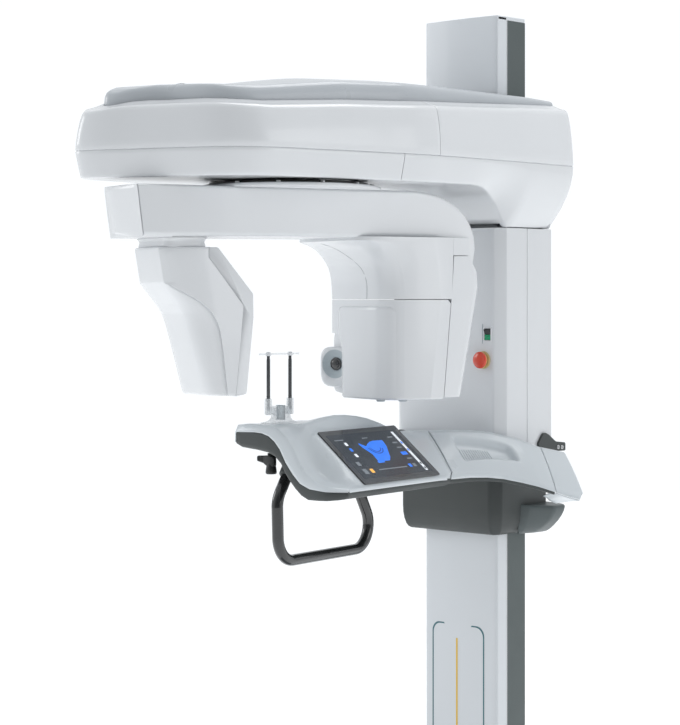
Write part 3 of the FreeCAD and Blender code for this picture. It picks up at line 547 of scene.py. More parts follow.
def head_cover():
    def level(share):
        return lambda y: mix(shoulder(y) + 8, rim(y), share)

    rings = [head_row(66, level(-0.1)), head_row(63, level(0.05)), head_row(62, level(0.25)),
             head_row(63.5, level(0.55)), head_row(67, level(0.78)), head_row(72.5, level(0.92)),
             head_row(79, level(0.985)), head_row(86, level(1.0))]
    last = len(HEAD_PATH) - 1
    nose = min(range(last + 1), key=lambda index: HEAD_PATH[index].y)
    right_side = list(range(nose + 1))
    left_side = list(range(last, nose - 1, -1))
    nose_y = HEAD_PATH[nose].y
    rows = []
    for y in steps(90, -1020, 90) + steps(-1020, nose_y, 12)[1:]:
        right = [on_ring(ring, right_side, y) for ring in rings]
        left = [on_ring(ring, left_side, y) for ring in rings]
        crown = 15 * smooth_step(y, -1040, -600)
        across = []
        for share in steps(0, 1, 20)[1:-1]:
            x, along, z = right[-1].lerp(left[-1], share)
            across.append((x, along, z + crown * math.sin(math.pi * share)))
        rows.append([tuple(point) for point in right] + across + [tuple(point) for point in left[::-1]])
    cover = grid("head_top_cover_skin", rows)
    open_for_column(cover, 118, -53)
    skin(cover, 2.5)
    # The top cover takes the grey that is painted shade and painted reflection.
    finish_piece(cover, "carriage", "white_shell", HEAD_COVER_PAINTED_SHADE, "head_top_cover")


def head_back():
    """The back wall of the head, with the way for the column and its brackets."""
    path = head_row(3, 0)
    right, left = path[0][0], path[-1][0]
    outlines = {"right": [(right, SEAM_Z), (right - 22, 2150), (right - 60, 2158), (122, 2160),
                          (122, SKIRT_Z), (171, SKIRT_Z), (right - 45, 1940)],
                "left": [(left, SEAM_Z), (left + 45, 1940), (-171, SKIRT_Z), (-122, SKIRT_Z), (-122, 2160),
                         (left + 60, 2158), (left + 22, 2150)]}
    for name, outline in outlines.items():
        wall = prism(f"head_back_{name}", rounded(outline, 6), 84, 87, axis="y")
        finish_piece(soften(wall, 0.8), "carriage", "white_shell", WHITE)


# Rotating arm

def arm_plane(point, normal):
    """A trimming plane given in the arm's frame."""
    origin = arm_frame(0, 0, 0)
    return arm_frame(*point), (arm_frame(*normal) - origin).normalized()


def strip(name, path, side, place, width=1.2, height=0.5):
    """A thin raised line along a path; side is the direction across it, and it stands out by height."""
    rows = []
    side = Vector(side).normalized()
    for index, point in enumerate(path):
        before = Vector(path[max(index - 1, 0)])
        after = Vector(path[min(index + 1, len(path) - 1)])
        out = (after - before).cross(side).normalized()
        across = out.cross(after - before).normalized()
        corners = ((-1, -1), (1, -1), (1, 1), (-1, 1))
        rows.append([tuple(Vector(point) + across * (a * width / 2) + out * (b * height)) for a,
                     b in corners])
    return grid(name, rows, place, around=True, caps=True)


ARM_STATIONS = [((407, 1950), (393, 1838)), ((330, 1950), (330, 1838)), ((200, 1950), (200, 1840)),
                ((60, 1950), (60, 1842)), ((-80, 1950), (-80, 1843)), ((-200, 1950), (-200, 1844)),
                ((-255, 1950), (-262, 1844)), ((-292, 1947), (-290, 1844)), ((-325, 1941), (-312, 1843)),
                ((-354, 1930), (-334, 1839)), ((-378, 1915), (-352, 1832)), ((-397, 1897), (-369, 1822)),
                ((-411, 1876), (-384, 1810)), ((-420, 1852), (-396, 1797)), ((-423, 1826), (-404, 1786)),
                ((-419, 1800), (-410, 1779)), ((-414, 1781), (-412, 1775))]
NEAR_SIDE = [(-425, 114), (-275, 112), (0, 104), (100, 101), (200, 98), (300, 94), (407, 87)]
FAR_SIDE = [(-425, -110), (-275, -110), (0, -102), (200, -95), (407, -86)]


def arm_ring(top, bottom, shrink=0.0):
    """One cross-section of the arm's box between a top and a bottom point of (s, z)."""
    high = math.dist(top, bottom) - 2 * shrink
    near = table(top[0], NEAR_SIDE) - shrink
    far = table(top[0], FAR_SIDE) + shrink
    outline = rounded([(far, 0, 9), (near, 0, 12), (near, high, 7), (far, high, 7)], 8, 5)
    row = []
    for t, rise in outline:
        share = (rise + shrink) / (high + 2 * shrink)
        row.append((mix(bottom[0], top[0], share), t, mix(bottom[1], top[1], share)))
    return row


def arm_shell():
    rows = [arm_ring(*ARM_STATIONS[0], shrink=1.6)]
    top, bottom = ARM_STATIONS[0]
    rows.append(arm_ring((top[0] - 1.5, top[1]), (bottom[0] - 1.5, bottom[1])))
    rows += [arm_ring(top, bottom) for top, bottom in ARM_STATIONS[1:]]
    shell = grid("arm_shell_skin", rows, arm_frame, around=True, caps=True)
    finish_piece(soften(shell, 0.8, angle=50), "arm", "white_shell", WHITE, "arm_shell", "arm_bottom_cover")


ARM_LOW = 1838
ARM_HIGH = 1950


def arm_end_cap():
    """A drafted end piece whose near side curves round to a narrow end face."""
    curve = [(409, 87), (411.5, 70), (414.5, 30), (416.5, -8), (417, -36), (413.5, -64), (408, -80),
             (403, -86)]
    curve = smooth_path(curve, 4)
    rows = []
    for high, inset in ((1838, 10), (1838.3, 4), (1841, 1), (1846, 0), (1890, 0), (1938, 0), (1945, 1),
                        (1948.6, 3.2), (1949.8, 7), (1950, 12)):
        share = (high - ARM_LOW) / (ARM_HIGH - ARM_LOW)
        lean = -18 * (1 - share)
        rise = 9 * (1 - smooth_step(high, ARM_LOW, 1860))
        seam = 394.5 + 14 * share
        row = [(seam, -86 + inset * 0.5, high), (seam, 87 - inset * 0.5, high)]
        for point in curve:
            level = high + rise * smooth_step(-point.y, -60, 80)
            row.append((max(point.x + lean - inset, seam + 1), point.y * (1 - inset / 120), level))
        rows.append(row)
    cap = grid("arm_end_cap_skin", rows, arm_frame, around=True, caps=True)
    finish_piece(soften(cap, 0.7, angle=40), "arm", "white_shell", WHITE, "arm_end_cap")


def slewing_disc():
    """The white boss on the arm, and a dark ring in the gap above it as painted shade for that gap."""
    centre = (0, SLEW_Y, 0)
    boss = [(0, 1949), (207, 1949), (207.5, 1952), (205, 1955.5), (198, 1957.8), (186, 1958.6), (60, 1959),
            (0, 1959)]
    disc = turned_piece("slew_disc_boss", boss, centre, UP, 96)
    finish_piece(smooth(disc), "arm", "white_shell", WHITE, "slew_disc")
    # Painted shade: a dark ring fills the gap between the boss and the head's floor.
    ring = [(70, 1958.8), (176, 1958.8), (178, 1960), (178, 1963.4), (176, 1964.4), (70, 1964.4)]
    dark = turned_piece("slew_disc_gap_shade", ring, centre, UP, 96)
    finish_piece(soften(dark, 0.4), "arm", "dark_plastic", SATIN_BLACK)
    for index in range(12):
        angle = math.radians(index * 30 + 8)
        place = (186 * math.cos(angle), SLEW_Y + 186 * math.sin(angle), 0)
        bolt = [(0, 1958.4), (5, 1958.4), (5, 1961.6), (4.2, 1962.4), (0, 1962.4)]
        head = turned_piece(f"slew_bolt_{index}", bolt, place, UP, 12)
        finish_piece(soften(head, 0.3), "arm", "steel", STEEL)


# Detector

SEAM_LINE = [(1495, 182), (1692, 163), (1796, 247), (1818, 247)]
BLOCK_FACE = [(1500, 292), (1673, 322), (1731, 334), (1818, 349)]
SCOOP_EDGE = [(1498, 201), (1550, 207), (1600, 213), (1640, 220), (1660, 228), (1680, 241), (1700, 264),
              (1717, 293), (1729, 316), (1741, 334)]
SCOOP_FACE = [(1500, 233), (1650, 277), (1675, 286), (1695, 299), (1715, 316), (1742, 336)]


def side_of_block(s, face):
    """Half-width of the detector block at s: flat sides, then a long round into the outer face."""
    start = face - 98
    if s <= start:
        return 100
    return 56 + 44 * math.sqrt(max(1 - ((s - start) / (face - start)) ** 2, 0))


def detector_ring(z, inset=0.0, scooped=True):
    """Closed outline at one height: near wing, outer face and far wing; both halves alike."""
    seam = table(z, SEAM_LINE) + 0.8
    face = table(z, BLOCK_FACE)
    edge = min(table(z, SCOOP_EDGE), face - 1) if scooped else face - 1
    half = [(s, side_of_block(s, face)) for s in steps(seam, edge, 12)]
    last_s, last_t = half[-1]
    if scooped:
        front = max(table(z, SCOOP_FACE), last_s + 1)
        half.append((last_s + 0.3, last_t - 1.4))
        half.append((last_s - 0.6, last_t - 3.4))
        base = last_t - 4.2
        for angle in steps(0, math.pi / 2, 12):
            half.append((mix(last_s - 0.4, front, math.sin(angle)), 44 + (base - 44) * math.cos(angle)))
    else:
        half.append((face - 0.7, last_t - 1))
        half.append((face - 0.4, last_t - 2))
        for share in steps(0, 1, 12):
            half.append((face - 0.3 + 0.3 * share, mix(last_t - 3, 44, share)))
    half += [(half[-1][0], t) for t in (32, 16, 0)]
    ring = half + [(s, -t) for s, t in reversed(half[:-1])]
    return [(s - inset * (1 if s > 215 else 0), t * (1 - inset / 100), z) for s, t in ring]


def detector():
    rows = [detector_ring(1818, 9, False), detector_ring(1817.6, 4, False),
            detector_ring(1815.5, 1.2, False), detector_ring(1811, 0, False)]
    rows += [detector_ring(z, 0, False) for z in (1796, 1780, 1765, 1750, 1743)]
    rows += [detector_ring(z) for z in (1741, 1738, 1733, 1729, 1723, 1717, 1711, 1705, 1700, 1695, 1690,
                                        1685, 1680, 1675, 1670, 1665, 1660, 1652, 1644, 1636, 1628, 1615,
                                        1600, 1580, 1560, 1540, 1520, 1504)]
    rows += [detector_ring(1500.5, 0.8), detector_ring(1498.8, 2.6), detector_ring(1498, 6)]
    body = grid("detector_body", rows, arm_frame, around=True, caps=True)
    finish_piece(soften(body, 0.7, angle=55), "arm", "white_shell", WHITE, "detector_outer_cover")
    outline = [(224, 1817.5, 6), (139, 1718, 12), (138, 1667, 40), (156, 1501, 4), (181.4, 1496.5, 1),
               (162.4, 1691.8, 6), (246.2, 1796.4, 4), (246.2, 1817.5, 4)]
    rows = []
    for t, inset in ((-99, 2.5), (-97.5, 0.8), (-94, 0), (94, 0), (97.5, 0.8), (99, 2.5)):
        middle = Vector((185, 1660))
        row = []
        for point in rounded(outline, 4, 5):
            inward = (middle - Vector(point)).normalized() * inset
            row.append((point[0] + inward.x, t, point[1] + inward.y))
        rows.append(row)
    inner = grid("detector_inner", rows, arm_frame, around=True, caps=True)
    finish_piece(smooth(inner), "arm", "white_shell", WHITE, "detector_inner_cover")
    neck_rows = []
    for z, grow in ((1816, 0), (1822, 0), (1829, -1.5), (1834, 0.5), (1839.5, 4)):
        outline = box_outline((238 - grow, -84 - grow), (338 + grow, 84 + grow), 26, 7)
        neck_rows.append([(s, t, z) for s, t in outline])
    neck = grid("detector_neck", neck_rows, arm_frame, around=True, caps=True)
    finish_piece(smooth(neck), "arm", "white_shell", WHITE)


# Tubehead: closed rings through the whole height, then cut at its seams

TUBE_FACE = [(1478, -180), (1706, -180), (1740, -178.6), (1760, -175.8), (1778, -170.5), (1794, -161.5),
             (1808, -149.5), (1818, -139), (1827, -124), (1834, -105), (1837, -94)]
TUBE_CREASE = [(1480, -294), (1706, -323), (1818, -311), (1837, -309)]
TUBE_BACK = [(1480, -388), (1560, -404), (1735, -437), (1778, -433), (1797, -427), (1812, -421),
             (1846, -420)]
FACE_BULGE = [(-130, -8), (-127, -3), (-122, -0.8), (-110, 0), (-78, 0), (0, -1), (40, -3), (72, -7),
              (90, -15), (104, -26), (114, -38), (120, -52)]


def tube_ring(z, inset=0.0):
    face = table(z, TUBE_FACE)
    crease = table(z, TUBE_CREASE)
    back = table(z, TUBE_BACK)
    front = [(face + bulge, t) for t, bulge in FACE_BULGE]
    front = [tuple(point) for point in smooth_path(front, 3)]
    near = [(face - 66, 123), (face - 85, 126)]
    near += [(mix(face - 85, crease, share), mix(126, 130, share)) for share in (0.3, 0.6, 0.9)]
    near += [(crease, 130), (mix(crease, back, 0.4), 125), (mix(crease, back, 0.8), 117), (back + 9, 111),
             (back + 3.5, 107), (back + 0.8, 101), (back, 92)]
    far = [(s, -t) for s, t in reversed(near[6:])] + [(crease, -130)]
    far += [(mix(crease, face - 8, share), -130.3) for share in (0.3, 0.6, 0.9)]
    ring = front + near + [(back, 50), (back, 0), (back, -50)] + far
    middle = Vector((-290, 0))
    row = []
    for point in ring:
        inward = (middle - Vector(point)).normalized() * inset
        row.append((point[0] + inward.x, point[1] + inward.y, z))
    return row


def tubehead():
    rows = [tube_ring(1479.5, 9), tube_ring(1480, 4), tube_ring(1481.5, 1.2), tube_ring(1485)]
    rows += [tube_ring(z) for z in (1520, 1560, 1600, 1650, 1704, 1708, 1735, 1750, 1765, 1778, 1788, 1797,
                                    1805, 1812, 1818, 1823, 1828, 1832, 1835, 1837, 1841, 1846)]
    whole = grid("tubehead_whole", rows, arm_frame, around=True, caps=True)
    level = arm_plane((0, 0, 1706.6), (0, 0, -1))
    below = arm_plane((0, 0, 1705.2), (0, 0, 1))
    upper = trimmed(whole, "tubehead_upper_skin", [level, arm_plane((-351.6, 0, 1706), (-1, 0, -0.05))],
                    closed=True)
    corner = arm_plane((-340, 0, 1705.2), (-1, 0, 1))
    lower = trimmed(whole, "tubehead_lower_skin",
                       [below, arm_plane((-349.0, 0, 1706), (-1, 0, -0.084)), corner], closed=True)
    rear = trimmed(whole, "tubehead_outer_skin", [arm_plane((-350.6, 0, 1706), (1, 0, 0.084)),
                                                  arm_plane((0, 0, 1797), (0.02, 0, 1)),
                                                  arm_plane((-428, 0, 1772), (-1, 0, 0.75)),
                                                  arm_plane((0, 0, 1484), (0, 0, -1))], closed=True)
    above = trimmed(whole, "tubehead_neck_skin", [arm_plane((0, 0, 1798.4), (-0.02, 0, -1)),
                                                  arm_plane((-351.6, 0, 1706), (1, 0, 0.05))], closed=True)
    bpy.data.objects.remove(whole)
    recess = rounded([(-200, 1470), (-72, 1470), (-72, 1628, 34), (-200, 1628)], 1, 8)
    take_away(lower, recess, (-219, -120), arm_frame, "x")
    shelf = rounded([(-150, 1492, 16), (-64, 1482, 2), (-64, 1640, 2), (-150, 1640, 30)], 2, 8)
    shelf = prism("tubehead_pod_shelf", shelf, -236, -200, place=arm_frame, axis="x")
    finish_piece(soften(shelf, 3, 4), "arm", "white_shell", WHITE)
    finish_piece(soften(above, 0.8, angle=50), "arm", "white_shell", WHITE)
    finish_piece(soften(upper, 0.8, angle=50), "arm", "white_shell", WHITE, "tubehead_upper_cover")
    finish_piece(soften(lower, 0.8, angle=50), "arm", "white_shell", WHITE, "tubehead_lower_cover")
    finish_piece(soften(rear, 1.2, angle=50), "arm", "white_shell", WHITE, "tubehead_outer_cover")


def face_at(t, z):
    return table(z, TUBE_FACE) + table(t, FACE_BULGE)


def window_panel():
    """Raised panel on the inner face, cut back round the camera, and the seam of the curved cover above."""
    rows = []
    radius = 16
    for z in [1484, 1490] + steps(1500, 1670, 17) + [1676, 1681, 1685, 1688, 1690]:
        corner = radius - math.sqrt(max(radius ** 2 - max(z - 1674, 0) ** 2, 0))
        left = table(z, [(1500, -70), (1585, -72), (1602, -74), (1614, -79), (1626, -88),
                         (1690, -90)]) + corner
        right = 112 - corner
        rise = 3.5 * smooth_step(1691 - z, 0, 5)
        row = [(face_at(left, z) - 1, left, z)]
        for share in steps(0, 1, 24):
            t = mix(left + 1.5, right - 3, share)
            row.append((face_at(t, z) + rise, t, z))
        row.append((face_at(right, z) - 1, right, z))
        rows.append(row)
    panel = grid("tubehead_window_panel", rows, arm_frame)
    finish_piece(smooth(panel), "arm", "white_shell", WHITE)
    path = smooth_path([(1833, -44), (1822, -27), (1808, -9), (1790, 12), (1770, 28), (1750, 35),
                        (1730, 36)], 6)
    path = [(face_at(t, z) + 0.1, t, z) for z, t in path] + [(face_at(32, 1706) + 0.1, 34, 1706.5)]
    seam = strip("tubehead_curved_seam", path, (0, 1, 0), arm_frame, 1.0, 0.4)
    finish_piece(seam, "arm", "white_shell", SEAM_SHADE)


def camera_pod():
    """Patient camera: a rounded housing turned towards the middle, a grey dish and a dark lens."""
    middle = Vector((-184, -117, 1556))
    ahead = Vector((math.cos(math.radians(30)), math.sin(math.radians(30)), 0))
    side = Vector((-ahead.y, ahead.x, 0))

    def placed(across, up, out):
        return tuple(middle + side * across + Vector((0, 0, up)) + ahead * out)

    def box_row(inset, out):
        row = []
        for angle in full_turn(64):
            high = (40 if math.sin(angle) > 0 else 53) - inset
            wide = 40 - inset
            reach = (abs(math.cos(angle) / wide) ** 3.6 + abs(math.sin(angle) / high) ** 3.6) ** (-1 / 3.6)
            row.append(placed(reach * math.cos(angle), reach * math.sin(angle), out))
        return row

    def round_row(radius, out):
        return [placed(radius * math.cos(a), radius * math.sin(a), out) for a in full_turn(64)]

    rows = [box_row(0, -60), box_row(0, -30), box_row(0, -5), box_row(0.8, -2), box_row(2.5, -0.5),
            box_row(5, 0), round_row(34.2, 0), round_row(33.4, -0.8)]
    pod = grid("camera_housing", rows, arm_frame, around=True)
    finish_piece(smooth(pod), "arm", "white_shell", WHITE, "camera_pod")
    rows = [round_row(radius, out) for radius, out in ((33.5, -0.6), (32, -1.2), (28, -3), (22, -5),
                                                       (16, -6.6), (14.6, -7), (14.6, -12))]
    dish = grid("camera_dish", rows, arm_frame, around=True)
    finish_piece(smooth(dish), "arm", "silver_paint", DISH_GREY)
    rows = [round_row(radius, out) for radius, out in ((14.5, -9), (14.4, -4.6), (13.6, -4), (12.6, -4.2),
                                                       (11.8, -5), (10, -4), (7, -3.2), (3.5, -2.8),
                                                       (0.5, -2.7))]
    lens = grid("camera_lens", rows, arm_frame, around=True, caps=True)
    finish_piece(smooth(lens), "arm", "dark_plastic", LENS_BLACK)


def tubehead_feet():
    for index, (s, t) in enumerate(((-200, 66), (-246, 86), (-246, -86))):
        x, y = turned(s, t, ARM_TURN, SLEW_Y)
        profile = [(0, 1481), (10, 1481), (10, 1477), (8.5, 1475.6), (0, 1475.2)]
        foot = turned_piece(f"tubehead_foot_{index}", profile, (x, y, 0), UP, 32)
        finish_piece(soften(foot, 0.5), "arm", "silver_paint", GREY)


# Fixed and moving column

def channel(name, path, thickness, low, high):
    """An open path of (x, y) as an upright wall of even thickness, the wall lying on the path's left."""
    inner = []
    for index, point in enumerate(path):
        point = Vector(point)
        before = point - Vector(path[index - 1]) if index > 0 else Vector(path[1]) - point
        after = Vector(path[index + 1]) - point if index < len(path) - 1 else before
        turn = Vector((-before.y, before.x)).normalized() + Vector((-after.y, after.x)).normalized()
        turn.normalize()
        shrink = max(turn.dot(Vector((-before.y, before.x)).normalized()), 0.4)
        inner.append(tuple(point + turn * thickness / shrink))
    return prism(name, list(path) + inner[::-1], low, high)


def column_face(x, crown=4):
    """The slightly convex front of the fixed column, as a y for each x."""
    return -49 + crown * (x / 107) ** 2


def column_front():
    """Silver front of the fixed column: slightly convex, with a pale edge strip at each side."""
    face = [(-111, -43.5), (-107, -45)] + [(x, column_face(x)) for x in range(-96, 97, 12)]
    face += [(107, -45), (111, -43.5)]
    path = [(-114, -9.5), (-114, -39.5), (-113, -42)] + face + [(113, -42), (114, -39.5), (114, -9.5)]
    front = channel("column_front_skin", path, 3, 20, 2387)
    finish_piece(soften(front, 0.6, angle=60), "column", "silver_paint", COLUMN_SILVER, "column_front_cover")
    for side in (-1, 1):
        outline = [(side * 108, -9.2), (side * 114.4, -9.2), (side * 114.4, -6.2), (side * 108, -6.2)]
        edge = prism(f"column_edge_{side + 1}", outline, 20, 2387)
        finish_piece(soften(edge, 0.4), "column", "white_shell", WHITE)
    cap = [(-114, 62), (-114, -40), (-111, -44)] + [(x, column_face(x, 4.6)) for x in range(-96, 97, 12)]
    cap += [(111, -44), (114, -40), (114, 62)]
    lid = prism("column_lid", cap, 2380.5, 2389.6)
    finish_piece(soften(lid, 1.0), "column", "silver_paint", COLUMN_SILVER, "column_top_cap")


def column_label():
    """The printed panel low on the column: a closed band round a rounded rectangle, and a rule in it."""
    low = Vector((-89, 500))
    high = Vector((76, 915))
    middle = (low + high) / 2
    half = (high - low) / 2
    width = 3.4
    rows = []
    for inset, out in ((0, 0.6), (0, -0.5), (width, -0.5), (width, 0.6)):
        row = []
        for x, z in box_outline(low, high, 24, 8):
            x = middle.x + (x - middle.x) * (1 - inset / half.x)
            row.append((x, column_face(x) + out, middle.y + (z - middle.y) * (1 - inset / half.y)))
        rows.append(row)
    band = grid("column_label_outline", rows, around=True)
    finish_piece(band, "column", "silver_paint", LABEL_TEAL)
    rule = prism("column_label_rule", [(-11, 560), (-6, 560), (-6, 880), (-11, 880)], -49.5, -48.2, axis="y")
    finish_piece(rule, "column", "silver_paint", LABEL_YELLOW)


MOVING_LOW = 1341
MOVING_HIGH = 1876.5


def moving_column():
    """Front and side covers that ride up and down the fixed column."""
    path = [(-171, -1.2), (-171, -74), (-169.5, -79), (-152, -99), (-147, -101.6), (-142, -102)]
    path += [(-x, y) for x, y in reversed(path)]
    front = channel("moving_column_front", path, 3, MOVING_LOW, MOVING_HIGH)
    switch_window = [(123.5, 1609), (142.5, 1609), (142.5, 1637), (123.5, 1637)]
    take_away(front, switch_window, (-110, -90), row_frame, "y")
    finish_piece(soften(front, 1.0, angle=35), "carriage", "white_shell", WHITE, "mobile_column_front_cover")
    for name, side in (("left", -1), ("right", 1)):
        path = [(side * x, y) for x, y in ((171, 0.4), (171, 92), (169.5, 95.5), (166, 97), (126, 97))]
        path = path[::side]
        cover = channel(f"moving_column_side_{name}", path, 3, MOVING_LOW, MOVING_HIGH)
        finish_piece(soften(cover, 1.0, angle=35), "carriage", "white_shell", WHITE, f"side_cover_{name}")


def housing_rows(plan, levels):
    """Rings of one plan, each drawn in towards the column by its inset."""
    rows = []
    for inset, z in levels:
        row = []
        for x, y in plan:
            away = Vector((min(max(x, -122), 122) - x, max(y, -58) - y))
            if away.length > 0.01:
                away *= min(inset / away.length, 1)
            row.append((x + away.x, y + away.y, z))
        rows.append(row)
    return rows


def lower_housing():
    """Dark housing below the console, and the side cover that swells out at its right rear corner."""
    plan = rounded([(-122, 97, 0), (-158, 97, 16), (-158, -79, 8), (-137, -103, 14), (137, -103, 14),
                    (158, -79, 8), (158, 97, 12), (122, 97, 0), (122, 96.5, 0), (-122, 96.5, 0)], 6, 5)[:-2]
    foot = [(1, 1183), (4, 1168), (9, 1155.5), (15, 1148), (23, 1144), (31, 1143), (60, 1143), (200, 1143)]
    housing = grid("lower_housing_skin", housing_rows(plan, [(2.5, 1339.5), (0.6, 1339), (0, 1336),
                                                             (0, 1200)] + foot))
    skin(housing, 2.5)
    finish_piece(housing, "carriage", "dark_plastic", DARK, "lower_housing")
    plan = rounded([(150, -14, 4), (176, 2, 30), (221, 46, 18), (221, 84, 12), (206, 97.5, 6),
                    (150, 97.5, 0)], 6, 6)
    rows = [[(min(x, 152), y, 1214) for x, y in plan]]
    for shrink, z in ((6, 1214), (1.5, 1213), (0, 1210), (3, 1200), (10, 1188), (22, 1174), (38, 1160),
                      (52, 1151), (64, 1145.5), (70, 1144)):
        rows.append([(max(x - shrink * (x - 150) / 71, 150), y, z - (x - 150) * 0.04) for x, y in plan])
    cover = grid("housing_side_cover", rows)
    skin(cover, 2.5)
    finish_piece(cover, "carriage", "dark_plastic", DARK_TEAL)


# Console: one ramp that starts at the display and wraps round the column's right side. Every row runs from
# the back edge over the ridge and down the ramp to the lip.

RAMP_OUT = Vector((0.657, -0.277, 0.702))
FRONT_TOP = [(-57, 1427), (-52, 1430), (-40, 1432), (40, 1432), (60, 1428), (80, 1416), (98, 1402),
             (115, 1381), (135, 1352), (155, 1330), (180, 1315), (210, 1308), (240, 1305), (252, 1303.5),
             (256, 1301.5), (258, 1298)]
FRONT_BAND = [(-57, 1413), (10, 1415), (39, 1412), (61, 1400), (80, 1381), (98, 1353), (119, 1329),
              (141, 1310), (169, 1300), (211, 1297), (258, 1296)]
DISPLAY_TOP = [(-57, 1425), (-52, 1429), (-40, 1430), (40, 1431), (84, 1440), (95, 1441.5), (101, 1439.5),
               (106, 1428), (110, 1418), (114, 1413), (120, 1413.5), (246, 1304.5), (252, 1303),
               (256, 1301.5), (258, 1298)]
PLAIN_TOP = [(-57, 1380), (-52, 1384), (-40, 1385), (60, 1397), (120, 1401), (134, 1402), (141, 1399),
             (148, 1393.5), (246, 1307.5), (252, 1304), (256, 1301.5), (258, 1297)]
SECTIONS = [((-106, -338, 1384), (84, -262, 1399), (180, -290, 1309), (186, -302, 1296)),
            ((-122, -250, 1384), (108, -223, 1400), (199, -246, 1309), (204, -251, 1298)),
            ((-138, -160, 1384), (122, -192, 1400), (217, -207, 1308), (222, -213, 1297)),
            ((-146, -106, 1384), (138, -160, 1398), (237, -172, 1303), (241, -177, 1292.5)),
            ((20, -104.5, 1389), (157, -128, 1394), (262, -136, 1293), (267, -140, 1283)),
            ((172, -64, 1376), (200, -76, 1378), (289, -104, 1282), (292, -109, 1273)),
            ((173, 12, 1357), (236, -32, 1356), (309, -73, 1273), (318, -80, 1260)),
            ((180, 15, 1355), (254, -3, 1349.5), (333, -46, 1261), (338, -58, 1250)),
            ((188, 17, 1353), (268, 19, 1343.5), (351, -19, 1253.5), (356, -36, 1242))]
RAMP_SHARES = steps(0.035, 0.975, 27)


def front_line(u):
    """Along position of the console's front edge, rounded off at its right end."""
    return -56 - 0.1675 * (u + 28) + 34 * smooth_step(u, 195, 262) ** 2


CREST = [(-30, 1430), (60, 1444), (115, 1448), (173, 1446), (227, 1439), (265, 1431), (292, 1421),
         (315, 1409), (332, 1402)]


def top_height(u, v):
    """Height of the console's top around the display."""
    near_front = smooth_step(v, -42, 6)
    plain = smooth_step(v, 296, 332)
    height = mix(table(u, FRONT_TOP), table(u, DISPLAY_TOP), near_front)
    on_crest = smooth_step(u, 20, 90) * (1 - smooth_step(u, 98, 111)) * near_front
    height += on_crest * (table(v, CREST) - 1441.5)
    fall = smooth_step(v, 150, 332) if u < 60 else plain
    return mix(height, table(u, PLAIN_TOP), max(plain, fall * (1 - smooth_step(u, 20, 60))))


def display_row(v_of, z_of):
    """One row of the top, from the foot of its back wall over the ridge and down the ramp to the lip."""
    across = [-57, -57, -54, -26, 2, 26, 46, 64, 80, 91, 98, 103]
    across += [mix(107, 244, share) for share in RAMP_SHARES] + [247, 252, 256, 258, 258]
    row = []
    for u in across:
        v = v_of(u)
        row.append(Vector((*turned(u, v, CONSOLE_TURN, CONSOLE_Y), z_of(u, v))))
    row[0].z = min(row[0].z, 1432) - 22
    row[1].z -= 3
    row[-1].z -= 2.5
    return row


def section_at(w):
    """Back, ridge, lip and edge of the wing at w, which counts the sections."""
    index = min(int(w), len(SECTIONS) - 2)
    return [Vector(first).lerp(Vector(last), w - index) for first,
            last in zip(SECTIONS[index], SECTIONS[index + 1])]


def drop(height):
    return Vector((0, 0, -height))


def section_point(w, share, sink=0.0):
    """A point of the ramp at w, where share runs from the ridge to the lip."""
    back, ridge, lip, edge = section_at(w)
    bulge = 3 * math.sin(math.pi * share)
    return ridge.lerp(lip, share) + RAMP_OUT * (bulge - sink)


def recess_depth(w, share):
    """The storage recess pressed into the ramp beside the column."""
    upper = mix(0.16, 0.26, (w - 1) / 3.6)
    lower = mix(0.74, 0.60, (w - 1) / 3.6)
    across = smooth_step(share, upper - 0.02, upper + 0.12) * (1 - smooth_step(share, lower - 0.04,
                                                                               lower + 0.015))
    along = smooth_step(w, 0.93, 1.2) * (1 - smooth_step(w, 4.25, 4.6))
    return 15 * across * along


def section_row(w):
    """One row of the wing's top, with as many points as a row of the display's."""
    back, ridge, lip, edge = section_at(w)
    row = [back + drop(22), back + drop(3)]
    row += [back.lerp(ridge, share) for share in (0.02, 0.15, 0.3, 0.45, 0.6, 0.74, 0.87, 0.95)]
    row += [ridge + drop(0.8), section_point(w, 0.03) + drop(0.8)]
    row += [section_point(w, share, recess_depth(w, share)) for share in RAMP_SHARES]
    row += [lip, lip.lerp(edge, 0.35) + drop(-1.6), lip.lerp(edge, 0.75) + drop(-1.4), edge,
            edge + drop(2.5)]
    return row


def console_top():
    """Silver top in three shells: around the display, round the column, and the end piece."""
    rows = []
    for lead, share in ((0, 0.0), (0.7, 0.22), (4, 0.62), (7.5, 0.96), (8.5, 1.0)):
        rows.append(display_row(lambda u, lead=lead: front_line(u) + lead, lambda u, v,
                                share=share: mix(table(u, FRONT_BAND), table(u, FRONT_TOP), share)))
    for share in steps(0, 1, 14)[1:]:
        rows.append(display_row(lambda u, share=share: mix(front_line(u) + 10, 8, share), top_height))
    for v in [40, 80, 120, 160, 200, 240, 270, 288] + steps(294, 332, 10):
        rows.append(display_row(lambda u, v=v: v, top_height))
    last = rows[-1]
    seam = section_row(0)
    for share in (0.2, 0.4, 0.6, 0.8, 0.985):
        rows.append([a.lerp(b, share) for a, b in zip(last, seam)])
    main = grid("console_display_shell", [[tuple(point) for point in row] for row in rows])
    skin(main, 2.5)
    finish_piece(main, "carriage", "console_silver", CONSOLE_SILVER, "console_main_shell")
    for name, low, high, node in (("console_wing_shell", 0.02, 5.985, "console_tray_shell"),
                                  ("console_end_shell", 6.02, 8, "console_end_cap")):
        rows = [[tuple(point) for point in section_row(w)] for w in steps(low, high, 90 if low < 1 else 16)]
        shell = grid(name, rows)
        skin(shell, 2.5)
        finish_piece(shell, "carriage", "console_silver", CONSOLE_SILVER, node)


def recess_ribs():
    for index in range(13):
        w = 1.32 + index * 0.155
        path = []
        for share in steps(0.40, 0.655, 8):
            path.append(tuple(section_point(w, share, recess_depth(w, share) - 0.3)))
        rib = strip(f"recess_rib_{index}", path, (0.5, 0.85, 0.1), row_frame, 2.4, 1.1)
        finish_piece(soften(rib, 0.4), "carriage", "console_silver", CONSOLE_SILVER)


